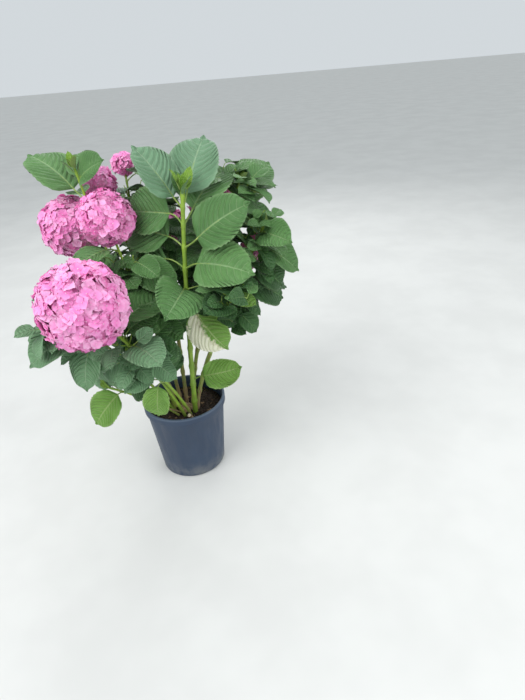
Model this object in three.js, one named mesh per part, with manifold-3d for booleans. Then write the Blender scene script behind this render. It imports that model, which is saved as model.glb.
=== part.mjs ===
// A mophead hydrangea in a nursery pot, in millimetres, +Z up.
// The origin is the middle of the pot's flat underside. The front is towards -Y.
// Canes rise from a woody crown in the soil, some fork into boughs, and every shoot ends in a mass
// of opposite leaves. A flowering shoot carries a ball of blossom on a short stalk above its leaves.
import * as THREE from 'three';
import { mergeVertices } from 'three/addons/utils/BufferGeometryUtils.js';
import Module from 'manifold-3d';

const wasm = await Module();
wasm.setup();

// Clearance kept between separate pieces
const GAP = 0.3;

// Pot and soil
const POT_HEIGHT = 250;
const RIM_RADIUS = 130;
const FOOT_RADIUS = 102.5;
const POT_WALL = 3;
const COLLAR_DEPTH = 24;
const COLLAR_STEP = 4;
const POT_FLOOR = 4;
const FOOT_BEVEL = 4;
const RIM_BEVEL = 2;
const POT_SIDES = 36;
const DRAIN_HOLES = 8;
const DRAIN_RADIUS = 7;
const DRAIN_CIRCLE = 80;
const DRAIN_SIDES = 8;
const SOIL_TOP = 215;
const SOIL_FLAT_RADIUS = 82;
const SOIL_EDGE_DROP = 6;

// Foot of the plant
const FOOT_MIDDLE = [4, -22];
const FOOT_CIRCLE = 36;
const FOOT_PLACES = 12;
const CROWN_RADIUS = 24;
const CROWN_HEIGHT = 20;
const CROWN_SIDES = 12;
const STUB_FOOT = [27, -70];
const STUB_LEAN = [-6, -12];
const STUB_LENGTH = 18;
const STUB_RADIUS = 6.5;
const STUB_SIDES = 8;

// Limbs: radii, the share of a cane's run at which it forks, and how a path bends on its way out
const FORK_REACH = 0.42;
const FORK_HEIGHT = 0.4;
const BEND_OUT = 0.36;
const BEND_UP = 0.56;
const BOUGH_RADIUS = 4;
const FORK_RADIUS = 6;
const FORK_SPREAD = 4.4;
const FORK_CURVE = 0.35;
const TIP_RADIUS = 3;
const STEM_BELOW_LEAVES = 24;
const SHORTEST_BOUGH = 30;
const LIMB_SIDES = 6;
const LIMB_STEP = 75;
const STALK_CLEAR = 6;

// Leaves. The lists run down a shoot, from the pair at its tip
const LEAF_SHARE = [0.34, 0.96, 1, 1, 0.98, 0.94, 0.88, 0.82];
const LEAF_RISE = [70, 57, 36, 15, 0, -12, -20, -26];
const LEAF_BEND = [14, 30, 42, 50, 54, 56, 58, 58];
const PETIOLE_SHARE = [0.12, 0.2, 0.26, 0.28, 0.3, 0.3, 0.3, 0.3];
const PETIOLE_RISE = 30;
const PETIOLE_FOLLOW = 0.5;
const PETIOLE_RADIUS = 2.6;
const PETIOLE_TAPER = 0.85;
const PETIOLE_SIDES = 3;
const FIRST_PAIR = 20;
const YOUNG_GAP = 0.5;
const GAP_GROWTH = 0.3;
const BLADE_WIDTH = 0.8;
const BLADE_WIDEST = 0.431;
const BASE_POWER = 0.5;
const END_POWER = 0.75;
const POINT_DEPTH = 0.62;
const POINT_FROM = 0.84;
const POINT_TO = 0.97;
const BLADE_THICKNESS = 0.026;
const BLADE_STATIONS = 5;
const FOLD_DEGREES = 12;
const ROOT_SINK = 7;
const LIGHT_CENTRE = new THREE.Vector3(0, 170, 540);
const LIGHT_PULL = 1.15;

// How far chance moves a leaf: turn, rise and roll in degrees, the others as [least share, range]
const TURN_SCATTER = 16;
const RISE_SCATTER = 18;
const ROLL_SCATTER = 34;
const SIZE_SCATTER = [0.88, 0.2];
const BEND_SCATTER = [0.7, 0.6];
const FOLD_SCATTER = [0.4, 1.2];

// How the leaves that show most lie against the rule, by shoot and number down the shoot:
// turn and rise in degrees, size, roll in degrees
const AS_GROWN = [0, 0, 1, 0];
const POSED_LEAVES = {
  leader: {
    2: [37, 6, 1.15, 5],
    3: [-36, -1, 1, 5],
    4: [42, -38, 0.98, -43],
    5: [103, 17, 1.05, -1],
    6: [-49, -7, 1.03, -30],
    7: [-58, 24, 1, 51],
    8: [10, 9, 1.09, 17],
    9: [43, -6, 0.95, -55],
    10: [-57, 2, 0.82, -4],
    11: [52, 24, 0.96, -30],
    13: [-1, -7, 0.95, 40],
    14: [-8, -9, 0.74, 11],
  },
  left_upper: {
    2: [-36, -19, 0.75, 4],
    3: [9, -38, 0.8, 52],
    4: [-53, 14, 1.26, 15],
    5: [94, -17, 0.59, 20],
  },
  back_upper: { 2: [-36, 1, 0.85, 20] },
  right_back: { 3: [82, -27, 1.08, 32] },
  right_upper: {
    3: [15, -40, 0.97, 43],
    5: [-19, -49, 1.15, 24],
    6: [75, -34, 0.97, 18],
    8: [-7, -5, 1.1, 37],
    10: [-80, 0, 0.83, 33],
  },
  right_lower: {
    3: [5, -56, 0.62, -6],
    6: [50, -9, 0.77, 15],
    9: [73, 61, 0.67, 41],
  },
  right_bloom: { 3: [10, 33, 0.9, 0], 6: [25, 24, 0.66, 1] },
  left_low: { 4: [21, -32, 1, -24], 6: [-51, -28, 0.95, -11] },
  left_trailing: { 4: [-12, -35, 1.03, -6] },
  front_left: {
    3: [-4, 27, 0.87, -20],
    4: [-11, 3, 0.82, -8],
    5: [-27, -50, 1.06, -15],
    6: [28, 61, 0.89, 57],
    8: [28, 47, 0.8, 58],
  },
  front_low: { 4: [25, -11, 0.84, -26], 9: [2, -53, 0.82, 3] },
};

// A leaf tries these changes of [turn, rise, size] until it fits its space, or is left out
const LEAF_TRIES = [
  [0, 0, 1],
  [16, 0, 1],
  [-16, 0, 1],
  [0, 16, 0.94],
  [0, -18, 0.94],
  [30, 8, 0.85],
  [-30, 8, 0.85],
  [0, 26, 0.78],
  [0, -30, 0.78],
  [0, 0, 0.66],
];

// How far apart leaves of two masses, leaves of one mass, and leaves and limbs or blossom stay
const LEAF_APART = 11;
const OWN_LEAF_APART = 7;
const LIMB_APART = 8;
const BLOOM_APART = 6;
const POT_APART = 12;
const LEAF_CLEARANCE = 1;

// Where a blade is tested: stations along it, the first one far out on it, sides, and on its stalk
const TEST_STATIONS = 9;
const OUTER_STATION = 4;
const TEST_SIDES = [-0.95, -0.63, -0.32, 0, 0.32, 0.63, 0.95];
const STALK_TEST = 0.6;
const LIMB_TEST_STEP = 12;

// Blossom: a ball that is a little flat underneath, with a rise for each cluster of florets
const BLOOM_FLATTEN = 0.1;
const BLOOM_DETAIL = 3;
const BLOOM_RELIEF = 0.06;
const BLOOM_CLUSTERS = 46;
const CLUSTER_REACH = 0.95;
const CLUSTER_DIP = 1.6;
const LARGE_BLOOM = 100;
const STALK_BELOW_BLOOM = 16;

// Each cane: its place round the foot, its radius there, and its one or two shoots.
// azimuth is counted from +X, reach is out from the pot's middle, height is above the ground,
// bloom is the ball's diameter, leaf the longest blade, turn the direction of the first pair.
// A sprout is one small leaf far down a cane.
const CANES = [
  {
    name: 'leader', place: 11, radius: 8,
    shoots: [
      {
        name: 'leader', azimuth: 0, reach: 92, height: 900, tip: 5.2,
        pairs: 7, leaf: 182, turn: -58, internode: 60,
      },
    ],
    sprout: { depth: 575, direction: -12 },
  },
  {
    name: 'front_left', place: 9, radius: 5.2,
    shoots: [
      {
        name: 'front_left', azimuth: 237, reach: 287, height: 692, bloom: 228,
        pairs: 5, leaf: 150, turn: 40, internode: 56,
      },
    ],
  },
  {
    name: 'left_middle', place: 6, radius: 5,
    shoots: [
      {
        name: 'left_middle', azimuth: 183, reach: 120, height: 836, bloom: 156,
        pairs: 5, leaf: 144, turn: 65, internode: 60,
      },
    ],
  },
  {
    name: 'left_back', place: 5, radius: 5.8,
    shoots: [
      {
        name: 'left_upper', azimuth: 153, reach: 230, height: 960,
        pairs: 5, leaf: 146, turn: 30, internode: 58,
      },
      {
        name: 'left_outer', azimuth: 149, reach: 316, height: 778, bloom: 188,
        pairs: 5, leaf: 144, turn: 10, internode: 58,
      },
    ],
  },
  {
    name: 'right', place: 0, radius: 5.8,
    shoots: [
      {
        name: 'right_upper', azimuth: 2, reach: 302, height: 790,
        pairs: 6, leaf: 122, turn: 15, internode: 56,
      },
      {
        name: 'right_lower', azimuth: 330, reach: 241, height: 658,
        pairs: 5, leaf: 118, turn: 50, internode: 50,
      },
    ],
  },
  {
    name: 'back_left', place: 4, radius: 5.6,
    shoots: [
      {
        name: 'back_left', azimuth: 127, reach: 305, height: 880, bloom: 104,
        pairs: 4, leaf: 140, turn: 75, internode: 60,
      },
      {
        name: 'back_left_far', azimuth: 110, reach: 350, height: 918, bloom: 76,
        pairs: 4, leaf: 132, turn: 20, internode: 60,
      },
    ],
  },
  {
    name: 'front_low', place: 10, radius: 4.6,
    shoots: [
      {
        name: 'front_low', azimuth: 246, reach: 197, height: 510,
        pairs: 5, leaf: 134, turn: 60, internode: 42,
      },
    ],
  },
  {
    name: 'left_low', place: 7, radius: 5,
    shoots: [
      {
        name: 'left_low', azimuth: 204, reach: 290, height: 620,
        pairs: 5, leaf: 144, turn: 25, internode: 50,
      },
    ],
  },
  {
    name: 'back', place: 3, radius: 5.8,
    shoots: [
      {
        name: 'back_upper', azimuth: 85, reach: 180, height: 890,
        pairs: 6, leaf: 156, turn: 70, internode: 58,
      },
      {
        name: 'back_outer', azimuth: 95, reach: 330, height: 700, bloom: 160,
        pairs: 5, leaf: 144, turn: 30, internode: 56,
      },
    ],
  },
  {
    name: 'back_right', place: 2, radius: 5.8,
    shoots: [
      {
        name: 'back_right', azimuth: 56, reach: 270, height: 790, bloom: 150,
        pairs: 5, leaf: 146, turn: 0, internode: 58,
      },
      {
        name: 'right_back', azimuth: 28, reach: 272, height: 882,
        pairs: 6, leaf: 152, turn: 45, internode: 56,
      },
    ],
  },
  {
    name: 'right_bloom', place: 1, radius: 4.8,
    shoots: [
      {
        name: 'right_bloom', azimuth: 21, reach: 296, height: 679, bloom: 110,
        pairs: 4, leaf: 136, turn: 80, internode: 54,
      },
    ],
  },
  {
    name: 'left_trailing', place: 8, radius: 4,
    shoots: [
      {
        name: 'left_trailing', azimuth: 196, reach: 226, height: 350,
        pairs: 3, leaf: 126, turn: 40, internode: 44,
      },
    ],
  },
];

const UP = new THREE.Vector3(0, 0, 1);
const radians = THREE.MathUtils.degToRad;

// The mulberry32 generator: the same numbers from the same seed on every run
function seeded(seed) {
  let state = seed >>> 0;
  return () => {
    state = (state + 0x6d2b79f5) >>> 0;
    let t = state;
    t = Math.imul(t ^ (t >>> 15), t | 1);
    t ^= t + Math.imul(t ^ (t >>> 7), t | 61);
    return ((t ^ (t >>> 14)) >>> 0) / 4294967296;
  };
}

function polar(azimuth, reach, height) {
  const a = radians(azimuth);
  return new THREE.Vector3(reach * Math.cos(a), reach * Math.sin(a), height);
}

// The part of v that is square to axis, at unit length
function squareTo(v, axis) {
  return v.clone().addScaledVector(axis, -v.dot(axis)).normalize();
}

function listValue(list, index) {
  return list[Math.min(index, list.length - 1)];
}

// Solids

function toSolid(geometry) {
  const bare = geometry.clone();
  bare.deleteAttribute('normal');
  bare.deleteAttribute('uv');
  const merged = mergeVertices(bare, 1e-4);
  return new wasm.Manifold(new wasm.Mesh({
    numProp: 3,
    vertProperties: new Float32Array(merged.attributes.position.array),
    triVerts: new Uint32Array(merged.index.array),
  }));
}

function toGeometry(solid) {
  const mesh = solid.getMesh();
  const geometry = new THREE.BufferGeometry();
  geometry.setAttribute('position', new THREE.BufferAttribute(mesh.vertProperties, 3));
  geometry.setIndex(new THREE.BufferAttribute(mesh.triVerts, 1));
  geometry.computeVertexNormals();
  return geometry;
}

// Gives every vertex of a closed stock geometry a new place
function reshape(geometry, place) {
  const position = geometry.getAttribute('position');
  for (let i = 0; i < position.count; i++) {
    const p = place(position.getX(i), position.getY(i), position.getZ(i));
    position.setXYZ(i, p.x, p.y, p.z);
  }
  return geometry;
}

// A limb along a curve between two shares of its length. A flat foot is cut level with the ground
function limbGeometry(limb, from, to, sides, flatFoot = false) {
  const length = limb.length * (to - from);
  const steps = Math.max(2, Math.round(length / LIMB_STEP));
  return reshape(new THREE.CylinderGeometry(1, 1, 1, sides, steps), (x, y, z) => {
    const share = from + (to - from) * (y + 0.5);
    const centre = limb.curve.getPointAt(share);
    const axis = flatFoot && y < -0.49 ? UP : limb.curve.getTangentAt(share);
    const across = squareTo(limb.side, axis);
    const outward = across.clone().cross(axis);
    const radius = limbRadius(limb, share);
    return centre.addScaledVector(across, x * radius).addScaledVector(outward, z * radius);
  });
}

// A straight stalk between two points
function stalkGeometry(from, to, fromRadius, toRadius) {
  const axis = to.clone().sub(from).normalize();
  const across = squareTo(Math.abs(axis.x) < 0.8 ? new THREE.Vector3(1, 0, 0) : UP, axis);
  const outward = across.clone().cross(axis);
  return reshape(new THREE.CylinderGeometry(1, 1, 1, PETIOLE_SIDES, 1), (x, y, z) => {
    const share = y + 0.5;
    const radius = THREE.MathUtils.lerp(fromRadius, toRadius, share);
    const centre = from.clone().lerp(to, share);
    return centre.addScaledVector(across, x * radius).addScaledVector(outward, z * radius);
  });
}

// Limbs

function limbRadius(limb, share) {
  return THREE.MathUtils.lerp(limb.fromRadius, limb.toRadius, share);
}

function makeLimb(start, control, end, fromRadius, toRadius) {
  const curve = new THREE.QuadraticBezierCurve3(start, control, end);
  const side = UP.clone().cross(end.clone().sub(start)).normalize();
  return { curve, side, fromRadius, toRadius, length: curve.getLength() };
}

function bentControl(start, end) {
  return new THREE.Vector3(
    THREE.MathUtils.lerp(start.x, end.x, BEND_OUT),
    THREE.MathUtils.lerp(start.y, end.y, BEND_OUT),
    THREE.MathUtils.lerp(start.z, end.z, BEND_UP),
  );
}

function shootEnd(shoot) {
  return polar(shoot.azimuth, shoot.reach, shoot.height);
}

// A cane with one shoot is one limb to its tip. One with two shoots ends at a fork, and a limb for
// each shoot starts side by side on the cane's end, just clear of it and of the other
function growCane(cane) {
  const foot = polar((cane.place * 360) / FOOT_PLACES, FOOT_CIRCLE, SOIL_TOP + GAP);
  foot.add(new THREE.Vector3(FOOT_MIDDLE[0], FOOT_MIDDLE[1], 0));
  const ends = cane.shoots.map(shootEnd);
  if (ends.length === 1) {
    const tip = cane.shoots[0].tip ?? TIP_RADIUS;
    const limb = makeLimb(foot, bentControl(foot, ends[0]), ends[0], cane.radius, tip);
    return { cane: null, limbs: [limb] };
  }
  const middle = ends[0].clone().add(ends[1]).multiplyScalar(0.5);
  const fork = new THREE.Vector3(
    middle.x * FORK_REACH,
    middle.y * FORK_REACH,
    THREE.MathUtils.lerp(SOIL_TOP, middle.z, FORK_HEIGHT),
  );
  const stock = makeLimb(foot, bentControl(foot, fork), fork, cane.radius, FORK_RADIUS);
  const heading = stock.curve.getTangentAt(1);
  const apart = squareTo(ends[0].clone().sub(ends[1]), heading);
  const limbs = ends.map((end, i) => {
    const start = fork.clone()
      .addScaledVector(heading, GAP)
      .addScaledVector(apart, i === 0 ? FORK_SPREAD : -FORK_SPREAD);
    const run = start.distanceTo(end);
    const control = start.clone().addScaledVector(heading, run * FORK_CURVE);
    return makeLimb(start, control, end, BOUGH_RADIUS, TIP_RADIUS);
  });
  return { cane: stock, limbs };
}

// Where the leaf pairs stand, as lengths down from the shoot's end
function pairDepths(shoot) {
  const first = shoot.bloom ? shoot.bloom * 0.5 + STALK_BELOW_BLOOM : FIRST_PAIR;
  const depths = [first];
  for (let k = 1; k < shoot.pairs; k++) {
    const share = shoot.bloom ? 1 : Math.min(1, YOUNG_GAP + GAP_GROWTH * (k - 1));
    depths.push(depths[k - 1] + shoot.internode * share);
  }
  return depths.filter((depth) => depth < shoot.limb.length - STEM_BELOW_LEAVES - SHORTEST_BOUGH);
}

// Leaves

// Half of the blade's width at a share of its length, as a share of the widest
function outline(share) {
  const body = Math.pow(share, BASE_POWER) * Math.pow(1 - share, END_POWER);
  const point = 1 - POINT_DEPTH * THREE.MathUtils.smoothstep(share, POINT_FROM, POINT_TO);
  return (body * point) / BLADE_WIDEST;
}

// A point of a blade: side runs from -1 at one edge to 1 at the other, lift is off the surface
function bladePoint(leaf, share, side, lift) {
  const turned = leaf.bend * share;
  const half = 0.5 * leaf.width * outline(share) * side;
  const raise = Math.abs(half) * Math.sin(leaf.fold) + lift;
  const along = (leaf.length * Math.sin(turned)) / leaf.bend + raise * Math.sin(turned);
  const rise = (-leaf.length * (1 - Math.cos(turned))) / leaf.bend + raise * Math.cos(turned);
  return leaf.base.clone()
    .addScaledVector(leaf.across, half * Math.cos(leaf.fold))
    .addScaledVector(leaf.heading, along)
    .addScaledVector(leaf.normal, rise);
}

function bladeGeometry(leaf) {
  const thickness = leaf.length * BLADE_THICKNESS;
  return reshape(new THREE.SphereGeometry(1, 4, BLADE_STATIONS), (x, y, z) => {
    const share = Math.acos(THREE.MathUtils.clamp(y, -1, 1)) / Math.PI;
    const ring = Math.hypot(x, z);
    const side = ring > 1e-6 ? x / ring : 0;
    const lift = ring > 1e-6 ? (z / ring) * 0.5 * thickness : 0;
    return bladePoint(leaf, share, side, lift);
  });
}

function scattered([least, range], random) {
  return least + range * random;
}

// The leaf of a site on a limb. change is [turn, rise, size, roll] against the rule
function makeLeaf(site, change) {
  const { shoot, rank, random } = site;
  const { limb } = shoot;
  const share = 1 - site.depth / limb.length;
  const node = limb.curve.getPointAt(share);
  const axis = limb.curve.getTangentAt(share);
  const lean = axis.clone().add(UP).normalize();
  const east = squareTo(new THREE.Vector3(1, 0, 0), axis);
  const north = axis.clone().cross(east);
  const turn = radians(site.direction + TURN_SCATTER * (random[0] - 0.5) + change[0]);
  const away = east.multiplyScalar(Math.cos(turn)).addScaledVector(north, Math.sin(turn));
  const out = squareTo(away, lean);
  const rise = radians(listValue(LEAF_RISE, rank) + RISE_SCATTER * (random[1] - 0.5) + change[1]);
  const heading = out.clone().multiplyScalar(Math.cos(rise)).addScaledVector(lean, Math.sin(rise));
  const longest = shoot.leaf * listValue(LEAF_SHARE, rank);
  const length = longest * scattered(SIZE_SCATTER, random[2]) * change[2];
  const petioleRise = radians(PETIOLE_RISE + PETIOLE_FOLLOW * listValue(LEAF_RISE, rank));
  const petiole = length * listValue(PETIOLE_SHARE, rank);
  const base = node.clone()
    .addScaledVector(out, Math.cos(petioleRise) * petiole + limbRadius(limb, share))
    .addScaledVector(lean, Math.sin(petioleRise) * petiole);
  const light = base.clone().sub(LIGHT_CENTRE).normalize().multiplyScalar(LIGHT_PULL).add(UP);
  const flat = squareTo(light, heading);
  const roll = radians(ROLL_SCATTER * (random[3] - 0.5) + change[3]);
  const sideways = heading.clone().cross(flat);
  const normal = flat.multiplyScalar(Math.cos(roll)).addScaledVector(sideways, Math.sin(roll));
  return {
    shoot: shoot.name,
    node,
    base,
    heading,
    normal,
    across: normal.clone().cross(heading),
    length,
    width: length * BLADE_WIDTH,
    bend: radians(listValue(LEAF_BEND, rank) * scattered(BEND_SCATTER, random[4])),
    fold: radians(FOLD_DEGREES * scattered(FOLD_SCATTER, random[5])),
  };
}

// Points over a blade and its stalk, by which it is kept apart from everything else
function leafPoints(leaf) {
  const points = [];
  for (let i = 1; i <= TEST_STATIONS; i++) {
    for (const side of TEST_SIDES) {
      points.push({ at: bladePoint(leaf, i / TEST_STATIONS, side, 0), outer: i >= OUTER_STATION });
    }
  }
  points.push({ at: leaf.node.clone().lerp(leaf.base, STALK_TEST), outer: false });
  return points;
}

function bloomSurface(bloom, direction) {
  const under = (1 - direction.dot(bloom.axis)) / 2;
  return bloom.radius * (1 - BLOOM_FLATTEN * Math.pow(under, 1.5));
}

// Whether a blade leaves its space: too near a limb, a ball of blossom, the pot or another leaf
function isBlocked(leaf, points, limbPoints, blooms, placed) {
  for (const { at, outer } of points) {
    if (at.z < POT_HEIGHT + POT_APART && Math.hypot(at.x, at.y) < RIM_RADIUS + POT_APART) return true;
    for (const bloom of blooms) {
      const away = at.clone().sub(bloom.centre);
      const distance = away.length();
      if (distance > bloom.radius + BLOOM_APART) continue;
      if (distance < bloomSurface(bloom, away.normalize()) + BLOOM_APART) return true;
    }
    for (const p of limbPoints) {
      if (p.shoot === leaf.shoot && !outer) continue;
      if (at.distanceTo(p.at) < p.radius + LIMB_APART) return true;
    }
    for (const other of placed) {
      const own = other.shoot === leaf.shoot;
      if (own && !(outer && other.outer)) continue;
      if (at.distanceTo(other.at) < (own ? OWN_LEAF_APART : LEAF_APART)) return true;
    }
  }
  return false;
}

// Points down the middle of a limb
function limbSamples(limb, shoot) {
  const count = Math.ceil(limb.length / LIMB_TEST_STEP);
  return Array.from({ length: count + 1 }, (_, i) => ({
    at: limb.curve.getPointAt(i / count),
    radius: limbRadius(limb, i / count),
    shoot,
  }));
}

// Where a shoot's leaves stand, pair by pair, with the seeded numbers that shape each one
function leafSites(shoot, number) {
  const random = seeded(number + 1);
  const sites = shoot.depths.flatMap((depth, pair) => [0, 180].map((half) => ({
    depth, rank: pair + (shoot.bloom ? 3 : 0), direction: shoot.turn + 90 * pair + half,
  })));
  if (shoot.sprout) sites.push({ rank: 3, ...shoot.sprout });
  return sites.map((site, order) => ({
    ...site,
    shoot,
    random: Array.from({ length: 6 }, random),
    pose: POSED_LEAVES[shoot.name]?.[order],
  }));
}

// The first of the tries that is clear of everything, or nothing
function placeLeaf(site, limbPoints, blooms, placed) {
  const pose = site.pose ?? AS_GROWN;
  for (const [turn, rise, size] of LEAF_TRIES) {
    const leaf = makeLeaf(site, [turn + pose[0], rise + pose[1], size * pose[2], pose[3]]);
    const points = leafPoints(leaf);
    if (isBlocked(leaf, points, limbPoints, blooms, placed)) continue;
    points.forEach((p) => placed.push({ ...p, shoot: leaf.shoot }));
    return [leaf];
  }
  return [];
}

// The whole plant as a plan: limbs, balls of blossom and the leaves that fit, the posed ones first
function growPlant() {
  const canes = CANES.map((cane) => ({ ...cane, ...growCane(cane) }));
  const shoots = canes.flatMap((cane) => cane.shoots.map((shoot, i) => ({
    ...shoot, limb: cane.limbs[i], forked: cane.cane !== null, sprout: cane.sprout,
  })));
  shoots.forEach((shoot) => {
    shoot.depths = pairDepths(shoot);
  });
  const limbPoints = canes.flatMap((cane) => (cane.cane ? limbSamples(cane.cane, cane.name) : []));
  shoots.forEach((shoot) => limbPoints.push(...limbSamples(shoot.limb, shoot.name)));
  const blooms = shoots.filter((shoot) => shoot.bloom).map((shoot) => ({
    shoot: shoot.name,
    centre: shootEnd(shoot),
    radius: shoot.bloom / 2,
    axis: shoot.limb.curve.getTangentAt(1).add(UP).normalize(),
  }));
  const sites = shoots.flatMap(leafSites);
  const inTurn = [...sites.filter((site) => site.pose), ...sites.filter((site) => !site.pose)];
  const placed = [];
  const leaves = inTurn.flatMap((site) => placeLeaf(site, limbPoints, blooms, placed));
  return { canes, shoots, blooms, leaves };
}

// Pieces

function materialOf(colour, roughness) {
  return new THREE.MeshStandardMaterial({ color: colour, roughness, metalness: 0 });
}

const LOOKS = {
  pot: materialOf(0x34445a, 0.6),
  soil: materialOf(0x2b211b, 0.95),
  bark: materialOf(0x8c7a58, 0.8),
  green_stem: materialOf(0x7d9440, 0.6),
  leaf: materialOf(0x3f7040, 0.5),
  blossom: materialOf(0xe87ab4, 0.6),
};

function piece(name, geometry, look) {
  const mesh = new THREE.Mesh(geometry, LOOKS[look]);
  mesh.name = name;
  return mesh;
}

// The wall's outside from the underside up, then the inside back down to the middle
function potSolid() {
  const bodyTop = POT_HEIGHT - COLLAR_DEPTH;
  const outside = RIM_RADIUS - COLLAR_STEP;
  const profile = [
    [0, 0],
    [FOOT_RADIUS - FOOT_BEVEL, 0],
    [FOOT_RADIUS, FOOT_BEVEL],
    [outside - RIM_BEVEL, bodyTop],
    [RIM_RADIUS, bodyTop + RIM_BEVEL],
    [RIM_RADIUS, POT_HEIGHT - RIM_BEVEL],
    [RIM_RADIUS - RIM_BEVEL, POT_HEIGHT],
    [outside - POT_WALL, POT_HEIGHT],
    [FOOT_RADIUS - POT_WALL, POT_FLOOR],
    [0, POT_FLOOR],
  ];
  const points = profile.map(([r, z]) => new THREE.Vector2(r, z));
  const wall = new THREE.LatheGeometry(points, POT_SIDES).rotateX(Math.PI / 2);
  let pot = toSolid(wall);
  for (let i = 0; i < DRAIN_HOLES; i++) {
    const centre = polar(((i + 0.5) * 360) / DRAIN_HOLES, DRAIN_CIRCLE, 0);
    const hole = new THREE.CylinderGeometry(DRAIN_RADIUS, DRAIN_RADIUS, 4 * POT_FLOOR, DRAIN_SIDES);
    hole.rotateX(Math.PI / 2).translate(centre.x, centre.y, 0);
    pot = pot.subtract(toSolid(hole));
  }
  return pot;
}

// The inside radius of the pot's wall at a height
function innerRadius(height) {
  const share = (height - POT_FLOOR) / (POT_HEIGHT - POT_FLOOR);
  return THREE.MathUtils.lerp(FOOT_RADIUS, RIM_RADIUS - COLLAR_STEP, share) - POT_WALL;
}

function soilGeometry() {
  const bottom = POT_FLOOR + GAP;
  const edge = SOIL_TOP - SOIL_EDGE_DROP;
  const profile = [
    [0, bottom],
    [innerRadius(bottom) - GAP * 2, bottom],
    [innerRadius(edge) - GAP * 2, edge],
    [SOIL_FLAT_RADIUS, SOIL_TOP],
    [0, SOIL_TOP],
  ];
  const points = profile.map(([r, z]) => new THREE.Vector2(r, z));
  return new THREE.LatheGeometry(points, POT_SIDES).rotateX(Math.PI / 2);
}

// The woody mound that the canes stand round
function crownGeometry() {
  const profile = [
    [0, 0],
    [CROWN_RADIUS, 0],
    [CROWN_RADIUS * 0.94, CROWN_HEIGHT * 0.45],
    [CROWN_RADIUS * 0.6, CROWN_HEIGHT * 0.85],
    [0, CROWN_HEIGHT],
  ];
  const points = profile.map(([r, z]) => new THREE.Vector2(r, z));
  return new THREE.LatheGeometry(points, CROWN_SIDES)
    .rotateX(Math.PI / 2)
    .translate(FOOT_MIDDLE[0], FOOT_MIDDLE[1], SOIL_TOP + GAP);
}

// The stump of a cane that was cut back
function stubGeometry() {
  const foot = new THREE.Vector3(STUB_FOOT[0], STUB_FOOT[1], SOIL_TOP + GAP);
  const end = foot.clone().add(new THREE.Vector3(STUB_LEAN[0], STUB_LEAN[1], STUB_LENGTH));
  const limb = makeLimb(foot, foot.clone().lerp(end, 0.5), end, STUB_RADIUS, STUB_RADIUS * 0.9);
  return limbGeometry(limb, 0, 1, STUB_SIDES, true);
}

// Where a shoot's bare limb stops and its mass of leaves starts, as a share of the limb's length
function massStart(shoot) {
  const lowest = shoot.sprout?.depth ?? shoot.depths[shoot.depths.length - 1];
  return 1 - (lowest + STEM_BELOW_LEAVES) / shoot.limb.length;
}

// Where the leaves' stem stops. Above it a flowering shoot has its bare stalk
function massEnd(shoot) {
  return shoot.bloom ? 1 - (shoot.depths[0] - STALK_CLEAR) / shoot.limb.length : 1;
}

// A blade fused to its stalk, whose root is in the middle of the stem
function leafSolid(leaf) {
  const sunk = bladePoint(leaf, ROOT_SINK / leaf.length, 0, 0);
  const stalk = stalkGeometry(leaf.node, sunk, PETIOLE_RADIUS, PETIOLE_RADIUS * PETIOLE_TAPER);
  return toSolid(stalk).add(toSolid(bladeGeometry(leaf)));
}

function stemSolid(shoot) {
  const start = massStart(shoot) + GAP / shoot.limb.length;
  return toSolid(limbGeometry(shoot.limb, start, massEnd(shoot), LIMB_SIDES));
}

// A stem with its leaves. A leaf that would still touch something else is left out
function leafMass(stem, leaves, neighbours) {
  const clear = leaves.map(leafSolid).filter((leaf) => (
    neighbours.every((other) => other.minGap(leaf, LEAF_CLEARANCE * 2) > LEAF_CLEARANCE)));
  return clear.reduce((mass, leaf) => mass.add(leaf), stem);
}

// A ball of blossom fused to its stalk. Each cluster of florets is a low rise on the ball
function bloomSolid(shoot, bloom) {
  const golden = Math.PI * (3 - Math.sqrt(5));
  const clusters = Array.from({ length: BLOOM_CLUSTERS }, (_, i) => {
    const z = 1 - (2 * i + 1) / BLOOM_CLUSTERS;
    const ring = Math.sqrt(1 - z * z);
    return new THREE.Vector3(ring * Math.cos(golden * i), ring * Math.sin(golden * i), z);
  });
  const detail = bloom.radius > LARGE_BLOOM ? BLOOM_DETAIL + 1 : BLOOM_DETAIL;
  const ball = reshape(new THREE.IcosahedronGeometry(1, detail), (x, y, z) => {
    const direction = new THREE.Vector3(x, y, z).normalize();
    const nearest = Math.max(...clusters.map((c) => c.dot(direction)));
    const rise = THREE.MathUtils.mapLinear(nearest, CLUSTER_REACH, 1, -BLOOM_RELIEF, 0);
    const radius = bloomSurface(bloom, direction) * (1 + Math.max(rise, -BLOOM_RELIEF * CLUSTER_DIP));
    return direction.multiplyScalar(radius).add(bloom.centre);
  });
  const stalk = limbGeometry(shoot.limb, massEnd(shoot) + GAP / shoot.limb.length, 1, LIMB_SIDES);
  return toSolid(stalk).add(toSolid(ball));
}

const hydrangea = new THREE.Group();
const solids = [];

function add(name, solid, look) {
  solids.push(solid);
  hydrangea.add(piece(name, toGeometry(solid), look));
}

const plan = growPlant();
add('pot', potSolid(), 'pot');
add('soil', toSolid(soilGeometry()), 'soil');
add('woody_crown', toSolid(crownGeometry()), 'bark');
add('cut_stub', toSolid(stubGeometry()), 'bark');

for (const cane of plan.canes.filter((c) => c.cane)) {
  add(`cane_${cane.name}`, toSolid(limbGeometry(cane.cane, 0, 1, LIMB_SIDES, true)), 'bark');
}
for (const shoot of plan.shoots) {
  const name = shoot.forked ? `bough_${shoot.name}` : `cane_${shoot.name}`;
  const bare = limbGeometry(shoot.limb, 0, massStart(shoot), LIMB_SIDES, !shoot.forked);
  add(name, toSolid(bare), 'green_stem');
}
for (const bloom of plan.blooms) {
  const shoot = plan.shoots.find((s) => s.name === bloom.shoot);
  add(`bloom_${shoot.name}`, bloomSolid(shoot, bloom), 'blossom');
}

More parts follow.
